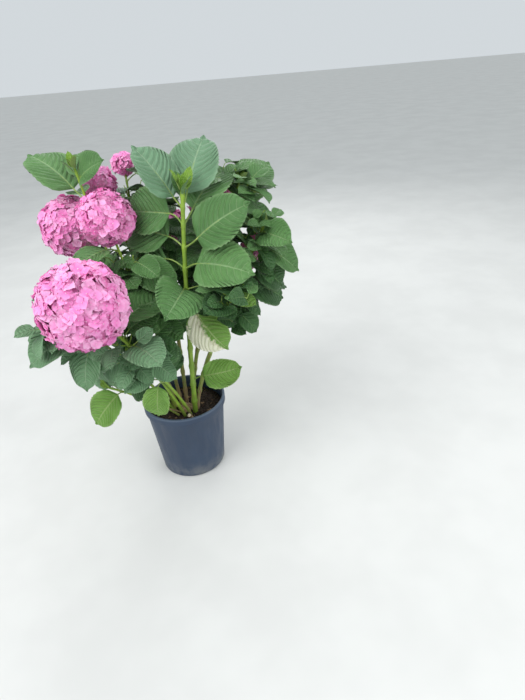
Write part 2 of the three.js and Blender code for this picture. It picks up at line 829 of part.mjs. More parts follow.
const stems = plan.shoots.map(stemSolid);
plan.shoots.forEach((shoot, i) => {
  const leaves = plan.leaves.filter((leaf) => leaf.shoot === shoot.name);
  const neighbours = [...solids, ...stems.filter((_, other) => other !== i)];
  add(`leaves_${shoot.name}`, leafMass(stems[i], leaves, neighbours), 'leaf');
});

export default hydrangea;
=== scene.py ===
# %% [markdown]
# # A mophead hydrangea in its nursery pot
#
# This lesson dresses a plain, faceted model of a potted shrub. The plain model fixes where the
# pot, the canes and every mass of leaves and blossom lie. Here each of them gets its real
# surface: moulded plastic, crumbly compost, barky canes, quilted leaves and balls of florets.
#
# The plain model comes first, as a frame that nothing may leave.

# %% Load the plain model
import math
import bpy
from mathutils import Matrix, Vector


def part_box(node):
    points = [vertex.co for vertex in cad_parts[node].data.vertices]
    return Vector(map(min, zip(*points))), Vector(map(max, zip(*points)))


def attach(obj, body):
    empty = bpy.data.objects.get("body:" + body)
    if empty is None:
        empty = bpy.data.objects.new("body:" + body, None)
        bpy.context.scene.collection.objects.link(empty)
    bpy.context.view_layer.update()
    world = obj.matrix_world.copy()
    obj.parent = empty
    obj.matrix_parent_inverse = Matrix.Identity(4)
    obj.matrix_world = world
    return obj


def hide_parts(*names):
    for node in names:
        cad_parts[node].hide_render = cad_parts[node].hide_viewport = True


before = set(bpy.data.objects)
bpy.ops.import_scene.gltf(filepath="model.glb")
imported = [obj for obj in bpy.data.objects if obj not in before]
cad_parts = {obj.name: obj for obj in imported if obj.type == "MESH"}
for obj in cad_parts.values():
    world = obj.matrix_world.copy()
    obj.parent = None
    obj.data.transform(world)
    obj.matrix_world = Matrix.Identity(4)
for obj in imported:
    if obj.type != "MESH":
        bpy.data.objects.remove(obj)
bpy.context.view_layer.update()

from types import SimpleNamespace

import bmesh
import bpy
import numpy as np
from mathutils import Matrix, Vector, noise

MM = 0.001

# %% [markdown]
# ## The camera
#
# The picture was taken by someone standing, holding a wide lens a little askew and looking down
# at the plant, which fills the left half of the frame. The pot's rim and foot are circles of
# known size, so their outlines give the camera's place, its tilt and its roll. A camera is
# built by three moves in order: to its place, tipped up from straight down, and rolled about
# its own view line. The camera comes first, because everything later is judged through it.

# %% Place the camera
IMAGE_WIDTH, IMAGE_HEIGHT = 525, 700
FOCAL_PIXELS = 526
CAMERA_PLACE = Vector((0.2641, -1.4079, 1.198))
CAMERA_PITCH = 29.68
CAMERA_ROLL = 4.93
SENSOR = 36
CLIP_START = 0.05


def place_camera():
    data = bpy.data.cameras.new("camera")
    data.sensor_width = SENSOR
    data.lens = SENSOR * FOCAL_PIXELS / max(IMAGE_WIDTH, IMAGE_HEIGHT)
    data.clip_start = CLIP_START
    data.dof.use_dof = False
    camera = bpy.data.objects.new("camera", data)
    bpy.context.collection.objects.link(camera)
    tip_up = Matrix.Rotation(math.radians(90 - CAMERA_PITCH), 4, "X")
    roll = Matrix.Rotation(-math.radians(CAMERA_ROLL), 4, "Z")
    camera.matrix_world = Matrix.Translation(CAMERA_PLACE) @ tip_up @ roll
    bpy.context.scene.camera = camera
    return camera


print("lens", round(place_camera().data.lens, 2), "mm")

# %% [markdown]
# ## How the shrub grows
#
# A hydrangea sends canes up from a woody crown in the soil. Leaves sit in opposite pairs, each
# pair square to the last, and they are largest in the middle of a shoot. A flowering shoot
# ends in a ball of florets on a short stalk.
#
# Placing some hundreds of leaves by hand would be slow, and would look placed. A rule grows
# them instead: the same rule, from the same seeds, that grew the plain model, so that each real
# leaf falls where its plain one was. Lengths in the rule are in millimetres.

# %% Values of the growth rule
POT_HEIGHT = 250
RIM_RADIUS = 130
SOIL_TOP = 215
GAP = 0.3
UP = np.array([0, 0, 1.0])
EAST = np.array([1.0, 0, 0])

# Canes stand in a ring on the woody base and lean out as they rise. Some fork into two boughs
FOOT_MIDDLE = (4, -22)
FOOT_CIRCLE = 36
FOOT_PLACES = 12
BEND_OUT = 0.36
BEND_UP = 0.56
FORK_REACH = 0.42
FORK_HEIGHT = 0.4
FORK_RADIUS = 6
FORK_SPREAD = 4.4
BOUGH_BEND = 0.35
BOUGH_RADIUS = 4
TIP_RADIUS = 3

# Leaf pairs, from the shoot's end down. Those of a growing tip stand closer together
FIRST_PAIR = 20
TIP_INTERNODE = 0.2
INTERNODE_GROWTH = 0.3
STEM_BELOW_LEAVES = 24
SHORTEST_BOUGH = 30

# A leaf by its rank, the youngest first: size, rise and bend in degrees, and its stalk's length
LEAF_SHARE = [0.34, 0.96, 1, 1, 0.98, 0.94, 0.88, 0.82]
LEAF_RISE = [70, 57, 36, 15, 0, -12, -20, -26]
LEAF_BEND = [14, 30, 42, 50, 54, 56, 58, 58]
PETIOLE_SHARE = [0.12, 0.2, 0.26, 0.28, 0.3, 0.3, 0.3, 0.3]
PETIOLE_RISE = 30
PETIOLE_FOLLOW = 0.5
RANK_BELOW_BLOOM = 3
SPROUT_RANK = 3
FOLD_DEGREES = 12

# The blade's outline: width to length, how it swells and narrows, and its drawn-out tip
BLADE_WIDTH = 0.8
BLADE_SWELL = 0.5
BLADE_NARROW = 0.75
BLADE_WIDEST = 0.431
DRIP_TIP = 0.62
DRIP_TIP_FROM_TO = (0.84, 0.97)

# What a leaf's own draws change: a whole range in degrees, or a least share and what is added
LEAF_DRAWS = 6
TURN_DRAWN = 16
RISE_DRAWN = 18
ROLL_DRAWN = 34
SIZE_DRAWN = (0.88, 0.2)
BEND_DRAWN = (0.7, 0.6)
FOLD_DRAWN = (0.4, 1.2)

# Leaves face away from a place inside the crown
LIGHT_CENTRE = np.array([0, 170, 540.0])
LIGHT_PULL = 1.15

# Turn, rise and size that a leaf tries in order, until it lies clear of all that stands already
LEAF_TRIES = [
    (0, 0, 1),
    (16, 0, 1),
    (-16, 0, 1),
    (0, 16, 0.94),
    (0, -18, 0.94),
    (30, 8, 0.85),
    (-30, 8, 0.85),
    (0, 26, 0.78),
    (0, -30, 0.78),
    (0, 0, 0.66),
]
LEAF_APART = 11
OWN_LEAF_APART = 7
LIMB_APART = 8
BLOOM_APART = 6
POT_APART = 12

# A ball of blossom is a little flat underneath
BLOOM_FLATTEN = 0.1
BLOOM_FLATTEN_CURVE = 1.5
STALK_BELOW_BLOOM = 16


def shoot(name, azimuth, reach, height, pairs, leaf, turn, internode, bloom=0, tip=TIP_RADIUS):
    return SimpleNamespace(
        name=name, azimuth=azimuth, reach=reach, height=height, pairs=pairs, leaf=leaf,
        turn=turn, internode=internode, bloom=bloom, tip=tip, sprout=None,
    )


def cane(name, place, radius, *shoots, sprout=None):
    return SimpleNamespace(name=name, place=place, radius=radius, shoots=shoots, sprout=sprout)


CANES = [
    cane("leader", 11, 8,
         shoot("leader", 0, 92, 900, 7, 182, -58, 60, tip=5.2),
         sprout=SimpleNamespace(depth=575, direction=-12)),
    cane("front_left", 9, 5.2, shoot("front_left", 237, 287, 692, 5, 150, 40, 56, bloom=228)),
    cane("left_middle", 6, 5, shoot("left_middle", 183, 120, 836, 5, 144, 65, 60, bloom=156)),
    cane("left_back", 5, 5.8,
         shoot("left_upper", 153, 230, 960, 5, 146, 30, 58),
         shoot("left_outer", 149, 316, 778, 5, 144, 10, 58, bloom=188)),
    cane("right", 0, 5.8,
         shoot("right_upper", 2, 302, 790, 6, 122, 15, 56),
         shoot("right_lower", 330, 241, 658, 5, 118, 50, 50)),
    cane("back_left", 4, 5.6,
         shoot("back_left", 127, 305, 880, 4, 140, 75, 60, bloom=104),
         shoot("back_left_far", 110, 350, 918, 4, 132, 20, 60, bloom=76)),
    cane("front_low", 10, 4.6, shoot("front_low", 246, 197, 510, 5, 134, 60, 42)),
    cane("left_low", 7, 5, shoot("left_low", 204, 290, 620, 5, 144, 25, 50)),
    cane("back", 3, 5.8,
         shoot("back_upper", 85, 180, 890, 6, 156, 70, 58),
         shoot("back_outer", 95, 330, 700, 5, 144, 30, 56, bloom=160)),
    cane("back_right", 2, 5.8,
         shoot("back_right", 56, 270, 790, 5, 146, 0, 58, bloom=150),
         shoot("right_back", 28, 272, 882, 6, 152, 45, 56)),
    cane("right_bloom", 1, 4.8, shoot("right_bloom", 21, 296, 679, 4, 136, 80, 54, bloom=110)),
    cane("left_trailing", 8, 4, shoot("left_trailing", 196, 226, 350, 3, 126, 40, 44)),
]

# How the leaves that show most lie against the rule: turn and rise in degrees, size, roll in degrees
AS_GROWN = (0, 0, 1, 0)
POSED_LEAVES = {
    "leader": {
        2: (37, 6, 1.15, 5),
        3: (-36, -1, 1, 5),
        4: (42, -38, 0.98, -43),
        5: (103, 17, 1.05, -1),
        6: (-49, -7, 1.03, -30),
        7: (-58, 24, 1, 51),
        8: (10, 9, 1.09, 17),
        9: (43, -6, 0.95, -55),
        10: (-57, 2, 0.82, -4),
        11: (52, 24, 0.96, -30),
        13: (-1, -7, 0.95, 40),
        14: (-8, -9, 0.74, 11),
    },
    "left_upper": {
        2: (-36, -19, 0.75, 4),
        3: (9, -38, 0.8, 52),
        4: (-53, 14, 1.26, 15),
        5: (94, -17, 0.59, 20),
    },
    "back_upper": {2: (-36, 1, 0.85, 20)},
    "right_back": {3: (82, -27, 1.08, 32)},
    "right_upper": {
        3: (15, -40, 0.97, 43),
        5: (-19, -49, 1.15, 24),
        6: (75, -34, 0.97, 18),
        8: (-7, -5, 1.1, 37),
        10: (-80, 0, 0.83, 33),
    },
    "right_lower": {3: (5, -56, 0.62, -6), 6: (50, -9, 0.77, 15), 9: (73, 61, 0.67, 41)},
    "right_bloom": {3: (10, 33, 0.9, 0), 6: (25, 24, 0.66, 1)},
    "left_low": {4: (21, -32, 1, -24), 6: (-51, -28, 0.95, -11)},
    "left_trailing": {4: (-12, -35, 1.03, -6)},
    "front_left": {
        3: (-4, 27, 0.87, -20),
        4: (-11, 3, 0.82, -8),
        5: (-27, -50, 1.06, -15),
        6: (28, 61, 0.89, 57),
        8: (28, 47, 0.8, 58),
    },
    "front_low": {4: (25, -11, 0.84, -26), 9: (2, -53, 0.82, 3)},
}
print(len(CANES), "canes and", sum(len(c.shoots) for c in CANES), "shoots")

# %% [markdown]
# ## Curves and seeded numbers
#
# A limb is a curve with three control points, read by its share of length, so that a step of a
# tenth is the same distance anywhere on it. The seeded generator gives the same numbers on
# every run, which keeps the plant the same plant. NumPy does the vector sums for many points
# in one go, which matters once there are thousands of them.

# %% Small tools for the rule
MAIN_LEAF_SEED = 1
TWIG_SEED = 1000
TIP_SEED = 2000
BALL_SEED = 3000


def seeded(seed):
    """A generator of numbers from 0 to 1, always the same ones for a seed."""
    state = seed

    def draw():
        nonlocal state
        state = (state + 0x6D2B79F5) & 0xFFFFFFFF
        t = state
        t = ((t ^ (t >> 15)) * (t | 1)) & 0xFFFFFFFF
        t ^= (t + (((t ^ (t >> 7)) * (t | 61)) & 0xFFFFFFFF)) & 0xFFFFFFFF
        return (t ^ (t >> 14)) / 4294967296

    return draw


def unit(v):
    return v / np.linalg.norm(v, axis=-1, keepdims=True)


def square_to(v, axis):
    """The part of v that is square to axis, at unit length."""
    return unit(v - axis * np.dot(v, axis))


def way_out(axis, degrees):
    """Which way a leaf or twig leaves a limb, turned round it, and which way it leans upwards."""
    lean = unit(axis + UP)
    east = square_to(EAST, axis)
    turn = math.radians(degrees)
    return square_to(east * math.cos(turn) + np.cross(axis, east) * math.sin(turn), lean), lean


def polar(azimuth, reach, height):
    a = math.radians(azimuth)
    return np.array([reach * math.cos(a), reach * math.sin(a), height])


def lerp(a, b, share):
    return a + (b - a) * share


def smoothstep(x, low, high):
    t = np.clip((x - low) / (high - low), 0, 1)
    return t * t * (3 - 2 * t)


def by_rank(values, rank):
    """A leaf's value by its rank. The list's last one holds for all older leaves."""
    return values[min(rank, len(values) - 1)]


def leaf_draws(draw):
    return [draw() for _ in range(LEAF_DRAWS)]


def drawn(least, added, number):
    return least + added * number


class Limb:
    """A tapering limb along a quadratic curve."""

    CHORDS = 200

    def __init__(self, start, control, end, from_radius, to_radius):
        self.points = (start, control, end)
        self.radii = (from_radius, to_radius)
        self.side = unit(np.cross(UP, end - start))
        self.steps = np.linspace(0, 1, self.CHORDS + 1)
        chords = np.linalg.norm(np.diff(self.raw(self.steps), axis=0), axis=1)
        self.run = np.concatenate(([0], np.cumsum(chords)))
        self.length = self.run[-1]

    def raw(self, t):
        t = np.asarray(t, float)[..., None]
        start, control, end = self.points
        return (1 - t) ** 2 * start + 2 * t * (1 - t) * control + t ** 2 * end

    def at(self, share):
        return self.raw(np.interp(np.asarray(share) * self.length, self.run, self.steps))

    def heading(self, share):
        t = np.interp(np.asarray(share) * self.length, self.run, self.steps)[..., None]
        start, control, end = self.points
        return unit((1 - t) * (control - start) + t * (end - control))

    def radius(self, share):
        return lerp(self.radii[0], self.radii[1], share)


print("first seeded number", round(seeded(MAIN_LEAF_SEED)(), 6))

# %% [markdown]
# ## Canes and forks
#
# A cane with one shoot is one limb to its tip. A cane with two shoots stops at a fork, and a
# bough for each shoot starts beside the other on its end. The limbs leave the crown steeply
# and lean out on the way up, as canes do when they reach for light past their neighbours.

# %% Grow the canes


def bent_control(start, end):
    return np.array([
        lerp(start[0], end[0], BEND_OUT),
        lerp(start[1], end[1], BEND_OUT),
        lerp(start[2], end[2], BEND_UP),
    ])


def shoot_end(s):
    return polar(s.azimuth, s.reach, s.height)


def grow_cane(c):
    foot = polar(c.place * 360 / FOOT_PLACES, FOOT_CIRCLE, SOIL_TOP + GAP) + [*FOOT_MIDDLE, 0]
    ends = [shoot_end(s) for s in c.shoots]
    c.stock = None
    if len(ends) == 1:
        s = c.shoots[0]
        s.limb = Limb(foot, bent_control(foot, ends[0]), ends[0], c.radius, s.tip)
        s.forked, s.sprout = False, c.sprout
        return
    middle = (ends[0] + ends[1]) / 2
    fork = np.array([
        middle[0] * FORK_REACH,
        middle[1] * FORK_REACH,
        lerp(SOIL_TOP, middle[2], FORK_HEIGHT),
    ])
    c.stock = Limb(foot, bent_control(foot, fork), fork, c.radius, FORK_RADIUS)
    heading = c.stock.heading(1.0)
    apart = square_to(ends[0] - ends[1], heading)
    for s, end, way in zip(c.shoots, ends, (1, -1)):
        start = fork + heading * GAP + apart * FORK_SPREAD * way
        control = start + heading * np.linalg.norm(end - start) * BOUGH_BEND
        s.limb = Limb(start, control, end, BOUGH_RADIUS, TIP_RADIUS)
        s.forked = True


def pair_depths(s):
    """Where the leaf pairs stand, as lengths down from the shoot's end."""
    depths = [s.bloom * 0.5 + STALK_BELOW_BLOOM if s.bloom else FIRST_PAIR]
    for k in range(1, s.pairs):
        share = 1 if s.bloom else min(1, TIP_INTERNODE + INTERNODE_GROWTH * k)
        depths.append(depths[-1] + s.internode * share)
    return [d for d in depths if d < s.limb.length - STEM_BELOW_LEAVES - SHORTEST_BOUGH]


for each_cane in CANES:
    grow_cane(each_cane)
SHOOTS = [s for c in CANES for s in c.shoots]
for each_shoot in SHOOTS:
    each_shoot.depths = pair_depths(each_shoot)
BLOOMS = [
    SimpleNamespace(
        shoot=s, centre=shoot_end(s), radius=s.bloom / 2, axis=unit(s.limb.heading(1.0) + UP)
    )
    for s in SHOOTS if s.bloom
]
print(len(SHOOTS), "limbs carry", sum(len(s.depths) for s in SHOOTS), "leaf pairs and", len(BLOOMS), "blooms")

# %% [markdown]
# ## Leaves that keep out of each other's way
#
# A leaf starts on its stalk, points out and up or down by its rank on the shoot, turns its
# face to the light, and arches over towards its tip. Before it stays, points over its blade
# are tested against every limb, ball of blossom and earlier leaf. A leaf that would cut
# through one of them tries a few other turns and sizes, and is left out if none is clear.
#
# Real plants settle this by growing round things. Testing points is a cheap stand-in, and it
# is much faster than a true cut between two meshes.

# %% Grow the leaves


def outline(share):
    """Half of the blade's width at a share of its length, as a share of the widest."""
    share = np.clip(share, 0, 1)
    point = 1 - DRIP_TIP * smoothstep(share, *DRIP_TIP_FROM_TO)
    return share ** BLADE_SWELL * (1 - share) ** BLADE_NARROW * point / BLADE_WIDEST


def blade_points(leaf, share, side, lift=0.0):
    """Points of a blade. side runs from -1 at one edge to 1 at the other, lift is off the surface."""
    turned = leaf.bend * share
    half = 0.5 * leaf.width * outline(share) * side
    raised = np.abs(half) * math.sin(leaf.fold) + lift
    along = leaf.length * np.sin(turned) / leaf.bend + raised * np.sin(turned)
    rise = -leaf.length * (1 - np.cos(turned)) / leaf.bend + raised * np.cos(turned)
    return (
        leaf.base
        + (half * math.cos(leaf.fold))[..., None] * leaf.across
        + along[..., None] * leaf.heading
        + rise[..., None] * leaf.normal
    )


def make_leaf(s, limb, depth, rank, direction, draws, change):
    """A leaf of shoot s on a limb. Its change is a turn and rise in degrees, a size and a roll."""
    turned, raised, size, rolled = change
    share = 1 - depth / limb.length
    node = limb.at(share)
    out, lean = way_out(limb.heading(share), direction + TURN_DRAWN * (draws[0] - 0.5) + turned)
    rise = math.radians(by_rank(LEAF_RISE, rank) + RISE_DRAWN * (draws[1] - 0.5) + raised)
    heading = out * math.cos(rise) + lean * math.sin(rise)
    length = s.leaf * by_rank(LEAF_SHARE, rank) * drawn(*SIZE_DRAWN, draws[2]) * size
    stalk_rise = math.radians(PETIOLE_RISE + PETIOLE_FOLLOW * by_rank(LEAF_RISE, rank))
    stalk = length * by_rank(PETIOLE_SHARE, rank)
    base = node + out * (math.cos(stalk_rise) * stalk + limb.radius(share))
    base = base + lean * math.sin(stalk_rise) * stalk
    flat = square_to(unit(base - LIGHT_CENTRE) * LIGHT_PULL + UP, heading)
    roll = math.radians(ROLL_DRAWN * (draws[3] - 0.5) + rolled)
    normal = flat * math.cos(roll) + np.cross(heading, flat) * math.sin(roll)
    return SimpleNamespace(
        shoot=s.name, node=node, base=base, heading=heading, normal=normal,
        across=np.cross(normal, heading), length=length, width=length * BLADE_WIDTH,
        bend=math.radians(by_rank(LEAF_BEND, rank) * drawn(*BEND_DRAWN, draws[4])),
        fold=math.radians(FOLD_DEGREES * drawn(*FOLD_DRAWN, draws[5])),
        site=None, young=False,
    )


TEST_ROWS = 9
TEST_LINES = [-0.95, -0.63, -0.32, 0, 0.32, 0.63, 0.95]
TEST_SHARES, TEST_SIDES = (
    grid.ravel()
    for grid in np.meshgrid(np.arange(1, TEST_ROWS + 1) / TEST_ROWS, TEST_LINES, indexing="ij")
)
OUTER_ROWS_FROM = 3.5
TEST_OUTER = np.append(TEST_SHARES > OUTER_ROWS_FROM / TEST_ROWS, False)
STALK_SHARE = 0.6
LIMB_TEST_STEP = 12
NEAR_ENOUGH = 24


class Crowd:
    """Points that fill space, each with a radius, its shoot, and whether it is far out on a leaf."""

    def __init__(self):
        self.at, self.radius = np.empty((0, 3)), np.empty(0)
        self.owner, self.outer = np.empty(0, "U24"), np.empty(0, bool)

    def add(self, at, radius, owner, outer):
        self.at = np.vstack((self.at, at))
        self.radius = np.append(self.radius, radius)
        self.owner = np.append(self.owner, np.full(len(at), owner))
        self.outer = np.append(self.outer, outer)

    def meets(self, points, owner, others_apart, own_apart):
        low, high = points.min(axis=0) - NEAR_ENOUGH, points.max(axis=0) + NEAR_ENOUGH
        close = ((self.at > low) & (self.at < high)).all(axis=1)
        if not close.any():
            return False
        distance = np.linalg.norm(points[:, None] - self.at[close][None], axis=2)
        own = self.owner[close] == owner
        apart = np.where(own, own_apart, others_apart) + self.radius[close]
        both_outer = TEST_OUTER[:, None] & self.outer[close]
        return bool(((distance < apart) & (~own | both_outer)).any())


LIMB_CROWD, LEAF_CROWD = Crowd(), Crowd()


def add_limb(limb, owner):
    count = math.ceil(limb.length / LIMB_TEST_STEP)
    shares = np.arange(count + 1) / count
    LIMB_CROWD.add(limb.at(shares), limb.radius(shares), owner, np.ones(count + 1, bool))


def bloom_surface(bloom, directions):
    under = (1 - directions @ bloom.axis) / 2
    return bloom.radius * (1 - BLOOM_FLATTEN * under ** BLOOM_FLATTEN_CURVE)


def meets_pot_or_bloom(points, apart=BLOOM_APART):
    low = points[:, 2] < POT_HEIGHT + POT_APART
    if (low & (np.hypot(points[:, 0], points[:, 1]) < RIM_RADIUS + POT_APART)).any():
        return True
    for bloom in BLOOMS:
        away = points - bloom.centre
        distance = np.linalg.norm(away, axis=1)
        if (distance < bloom_surface(bloom, away / distance[:, None]) + apart).any():
            return True
    return False


def test_points(leaf):
    """Points over the blade and one on the stalk."""
    blade = blade_points(leaf, TEST_SHARES, TEST_SIDES)
    return np.vstack((blade, lerp(leaf.node, leaf.base, STALK_SHARE)))


def inside(points, box):
    low, high = box
    return bool((points > low).all() and (points < high).all())


def place_leaf(s, limb, site, draws, ease=1.0, box=None, bloom_apart=BLOOM_APART):
    """The first of the tries that is clear of everything, or None."""
    turned, raised, sized, rolled = site.pose
    for turn, rise, size in LEAF_TRIES:
        change = (turn + turned, rise + raised, size * sized, rolled)
        leaf = make_leaf(s, limb, site.depth, site.rank, site.direction, draws, change)
        points = test_points(leaf)
        if box is not None and not inside(points, box):
            continue
        if meets_pot_or_bloom(points, bloom_apart):
            continue
        if LIMB_CROWD.meets(points, s.name, LIMB_APART, LIMB_APART):
            continue
        if LEAF_CROWD.meets(points, s.name, LEAF_APART * ease, OWN_LEAF_APART * ease):
            continue
        LEAF_CROWD.add(points, np.zeros(len(points)), s.name, TEST_OUTER)
        return leaf
    return None


def leaf_sites(number, s):
    """Where a shoot's leaves stand, pair by pair, with the draws that shape each one."""
    draw = seeded(MAIN_LEAF_SEED + number)
    first_rank = RANK_BELOW_BLOOM if s.bloom else 0
    sites = [
        SimpleNamespace(depth=depth, rank=pair + first_rank, direction=s.turn + 90 * pair + half)
        for pair, depth in enumerate(s.depths) for half in (0, 180)
    ]
    if s.sprout:
        sites.append(SimpleNamespace(rank=SPROUT_RANK, **vars(s.sprout)))
    for order, site in enumerate(sites):
        site.shoot, site.order = s, order
        site.draws = leaf_draws(draw)
        site.posed = order in POSED_LEAVES.get(s.name, {})
        site.pose = POSED_LEAVES[s.name][order] if site.posed else AS_GROWN
    return sites


def grow_leaves():
    """Posed leaves first, then the others, each if it finds room."""
    sites = [site for number, s in enumerate(SHOOTS) for site in leaf_sites(number, s)]
    leaves = []
    for site in sorted(sites, key=lambda site: not site.posed):
        leaf = place_leaf(site.shoot, site.shoot.limb, site, site.draws)
        if leaf:
            leaf.site = site.order
            leaves.append(leaf)
    return leaves


for each_cane in CANES:
    if each_cane.stock:
        add_limb(each_cane.stock, each_cane.name)
for each_shoot in SHOOTS:
    add_limb(each_shoot.limb, each_shoot.name)
LEAVES = grow_leaves()
print(len(LEAVES), "main leaves")

# %% [markdown]
# ## Finer twigs
#
# The plain model stops at the main leaves. A real shoot carries on: each leaf's armpit holds a
# bud, and many of those have grown into a short twig with a pair or two of smaller leaves.
# They are what fills a crown. The same rule grows them, with the twig as the limb, and a twig
# stays only if its leaves lie inside the box of the mass that its shoot belongs to. The two
# strongest shoots are this year's and have not branched, so their long stems stay in sight.

# %% Grow the finer twigs
TWIG_CHANCE = 0.94
TWIG_SIDES = (0, 180, 90, 270)
TWIG_BELOW_PAIR = 5
TWIG_TURN_DRAWN = 40
TWIG_RUN = (0.26, 0.6)
TWIG_RISE = (28, 58)
TWIG_ARCH_OUT = 0.4
TWIG_ARCH_UP = 0.12
TWIG_RADII = (1.9, 1.3)
TWIG_RANK = 2
TWIG_FIRST_PAIR = 2
TWIG_PAIR_STEP = 0.42
TWIG_PAIR_TURN = 45
TWIG_LEAF_SIZE = (0.42, 0.76)
TWIG_PAIR_SIZE = (0.8, 0.2)
TWIG_EASE = 0.6
TWIG_MARGIN = 12
TWIG_BLOOM_APART = 34
LOWEST_TWIG = 470
UNBRANCHED = ("leader", "left_upper")


def mass_box(s):
    """The box of the plain mass of leaves that a shoot belongs to, with a small margin."""
    low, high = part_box(f"leaves_{s.name}")
    return np.array(low) / MM - TWIG_MARGIN, np.array(high) / MM + TWIG_MARGIN


def make_twig(s, depth, direction, draw):
    share = 1 - depth / s.limb.length
    node = s.limb.at(share)
    out, lean = way_out(s.limb.heading(share), direction + TWIG_TURN_DRAWN * (draw() - 0.5))
    run = s.leaf * lerp(*TWIG_RUN, draw())
    rise = math.radians(lerp(*TWIG_RISE, draw()))
    end = node + (out * math.cos(rise) + lean * math.sin(rise)) * run
    return Limb(node, node + out * run * TWIG_ARCH_OUT + lean * run * TWIG_ARCH_UP, end, *TWIG_RADII)


def twig_sites(twig, draw):
    """Two opposite pairs near the end of a twig."""
    return [
        SimpleNamespace(
            depth=TWIG_FIRST_PAIR + pair * twig.length * TWIG_PAIR_STEP,
            rank=TWIG_RANK + pair,
            direction=90 * pair + side + TWIG_PAIR_TURN,
            pose=(0, 0, lerp(*TWIG_LEAF_SIZE, draw()) * drawn(*TWIG_PAIR_SIZE, pair), 0),
        )
        for pair in (0, 1) for side in (0, 180)
    ]


def grow_twig_leaves(s, twig, box, draw):
    grown = [
        place_leaf(s, twig, site, leaf_draws(draw), TWIG_EASE, box, TWIG_BLOOM_APART)
        for site in twig_sites(twig, draw)
    ]
    return [leaf for leaf in grown if leaf]


def grow_twigs():
    """Twigs under every pair but the first, each kept if it bears a leaf that finds room."""
    twigs, small = [], []
    for number, s in enumerate(SHOOTS):
        if s.name in UNBRANCHED:
            continue
        draw = seeded(TWIG_SEED + number)
        box = mass_box(s)
        for pair, depth in enumerate(s.depths[1:], 1):
            for side in TWIG_SIDES:
                if draw() > TWIG_CHANCE:
                    continue
                twig = make_twig(s, depth - TWIG_BELOW_PAIR, s.turn + 90 * pair + side, draw)
                if twig.points[0][2] < LOWEST_TWIG:
                    continue
                grown = grow_twig_leaves(s, twig, box, draw)
                if grown:
                    twigs.append(twig)
                    small += grown
    return twigs, small


TWIGS, TWIG_LEAVES = grow_twigs()
print(len(TWIGS), "twigs with", len(TWIG_LEAVES), "smaller leaves")

# %% [markdown]
# ## Young leaves at the tips
#
# A leafy shoot ends in a bud that is always opening. Two or three pairs of very small leaves
# stand upright round it, still folded and bright yellow-green, and they are the freshest
# colour on the plant. They need no test, because they stand in the space between the first
# pair.

# %% Grow the tips
TIP_SIZES = (0.14, 0.23, 0.32)
TIP_DEPTH = (2, 5)
TIP_RISE = (12, -8)
TIP_FOLD = (38, -6)
TIP_WIDTH = 0.5


def grow_tips():
    """Pairs of young leaves, each lower, flatter and wider open than the pair above it."""
    young = []
    for number, s in enumerate(SHOOTS):
        if s.bloom:
            continue
        draw = seeded(TIP_SEED + number)
        for k, size in enumerate(TIP_SIZES):
            for side in (0, 180):
                direction = s.turn + 90 * k + side + 90
                change = (0, drawn(*TIP_RISE, k), size / LEAF_SHARE[0], 0)
                leaf = make_leaf(s, s.limb, drawn(*TIP_DEPTH, k), 0, direction, leaf_draws(draw), change)
                leaf.fold = math.radians(drawn(*TIP_FOLD, k))
                leaf.width = leaf.length * TIP_WIDTH
                leaf.young = True
                young.append(leaf)
    return young


YOUNG_LEAVES = grow_tips()
print(len(YOUNG_LEAVES), "young leaves")

# %% [markdown]
# ## Making pieces
#
# Every finished piece is an object at the origin whose place is in its mesh. It rides on the
# model's one body and hides the plain nodes that it replaces. Small repeated things are
# computed as arrays of points and joined into one mesh, which keeps the number of objects low
# and each kind of thing together.

# %% Tools that make pieces


def finish_piece(name, mesh, materials, replaced=()):
    for material in materials:
        mesh.materials.append(material)
    mesh.polygons.foreach_set("use_smooth", np.ones(len(mesh.polygons), bool))
    piece = bpy.data.objects.new(name, mesh)
    bpy.context.collection.objects.link(piece)
    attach(piece, "root")
    if replaced:
        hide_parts(*replaced)
    mesh.calc_loop_triangles()
    print(f"{name}: {len(mesh.loop_triangles)} triangles")


def mesh_of(name, bm):
    mesh = bpy.data.meshes.new(name)
    bm.to_mesh(mesh)
    bm.free()
    return mesh


def store_shade(mesh, values):
    """A number from 0 to 1 on every point, which the materials read."""
    mesh.attributes.new("shade", "FLOAT", "POINT").data.foreach_set("value", values)


class Pattern:
    """One small shape as plain lists, ready to be repeated: u and v of each vertex, and the faces."""

    def __init__(self, bm, u, v):
        bm.verts.index_update()
        self.u, self.v = np.array(u), np.array(v)
        self.faces = [[v.index for v in f.verts] for f in bm.faces]
        bm.free()


def joined_mesh(name, copies):
    """One mesh from many copies, each a pattern, its points in millimetres and its shade."""
    faces, us, vs, shades, first = [], [], [], [], 0
    for pattern, points, shade in copies:
        faces += [[i + first for i in face] for face in pattern.faces]
        us.append(pattern.u)
        vs.append(pattern.v)
        shades.append(np.broadcast_to(shade, len(points)))
        first += len(points)
    mesh = bpy.data.meshes.new(name)
    mesh.from_pydata((np.concatenate([c[1] for c in copies]) * MM).tolist(), [], faces)
    corner = np.empty(len(mesh.loops), int)
    mesh.loops.foreach_get("vertex_index", corner)
    pairs = np.column_stack((np.concatenate(us), np.concatenate(vs)))[corner]
    mesh.uv_layers.new(name="UVMap").data.foreach_set("uv", pairs.ravel())
    store_shade(mesh, np.concatenate(shades))
    return mesh


def finish_copies(name, copies, material, replaced=()):
    finish_piece(name, joined_mesh(name, copies), [material], replaced)


print("tools ready")

# %% [markdown]
# ## Building materials in code
#
# A material is a small graph. These helpers add one node and wire it in a single line, so that
# each finish below reads as a recipe. What several finishes share is a node group, built once:
# here a soft mottle, which nothing in a garden is without.

# %% Tools that make materials
MOTTLE_EDGES = (0.32, 0.68)
MOTTLE_ROUGHNESS = 0.6


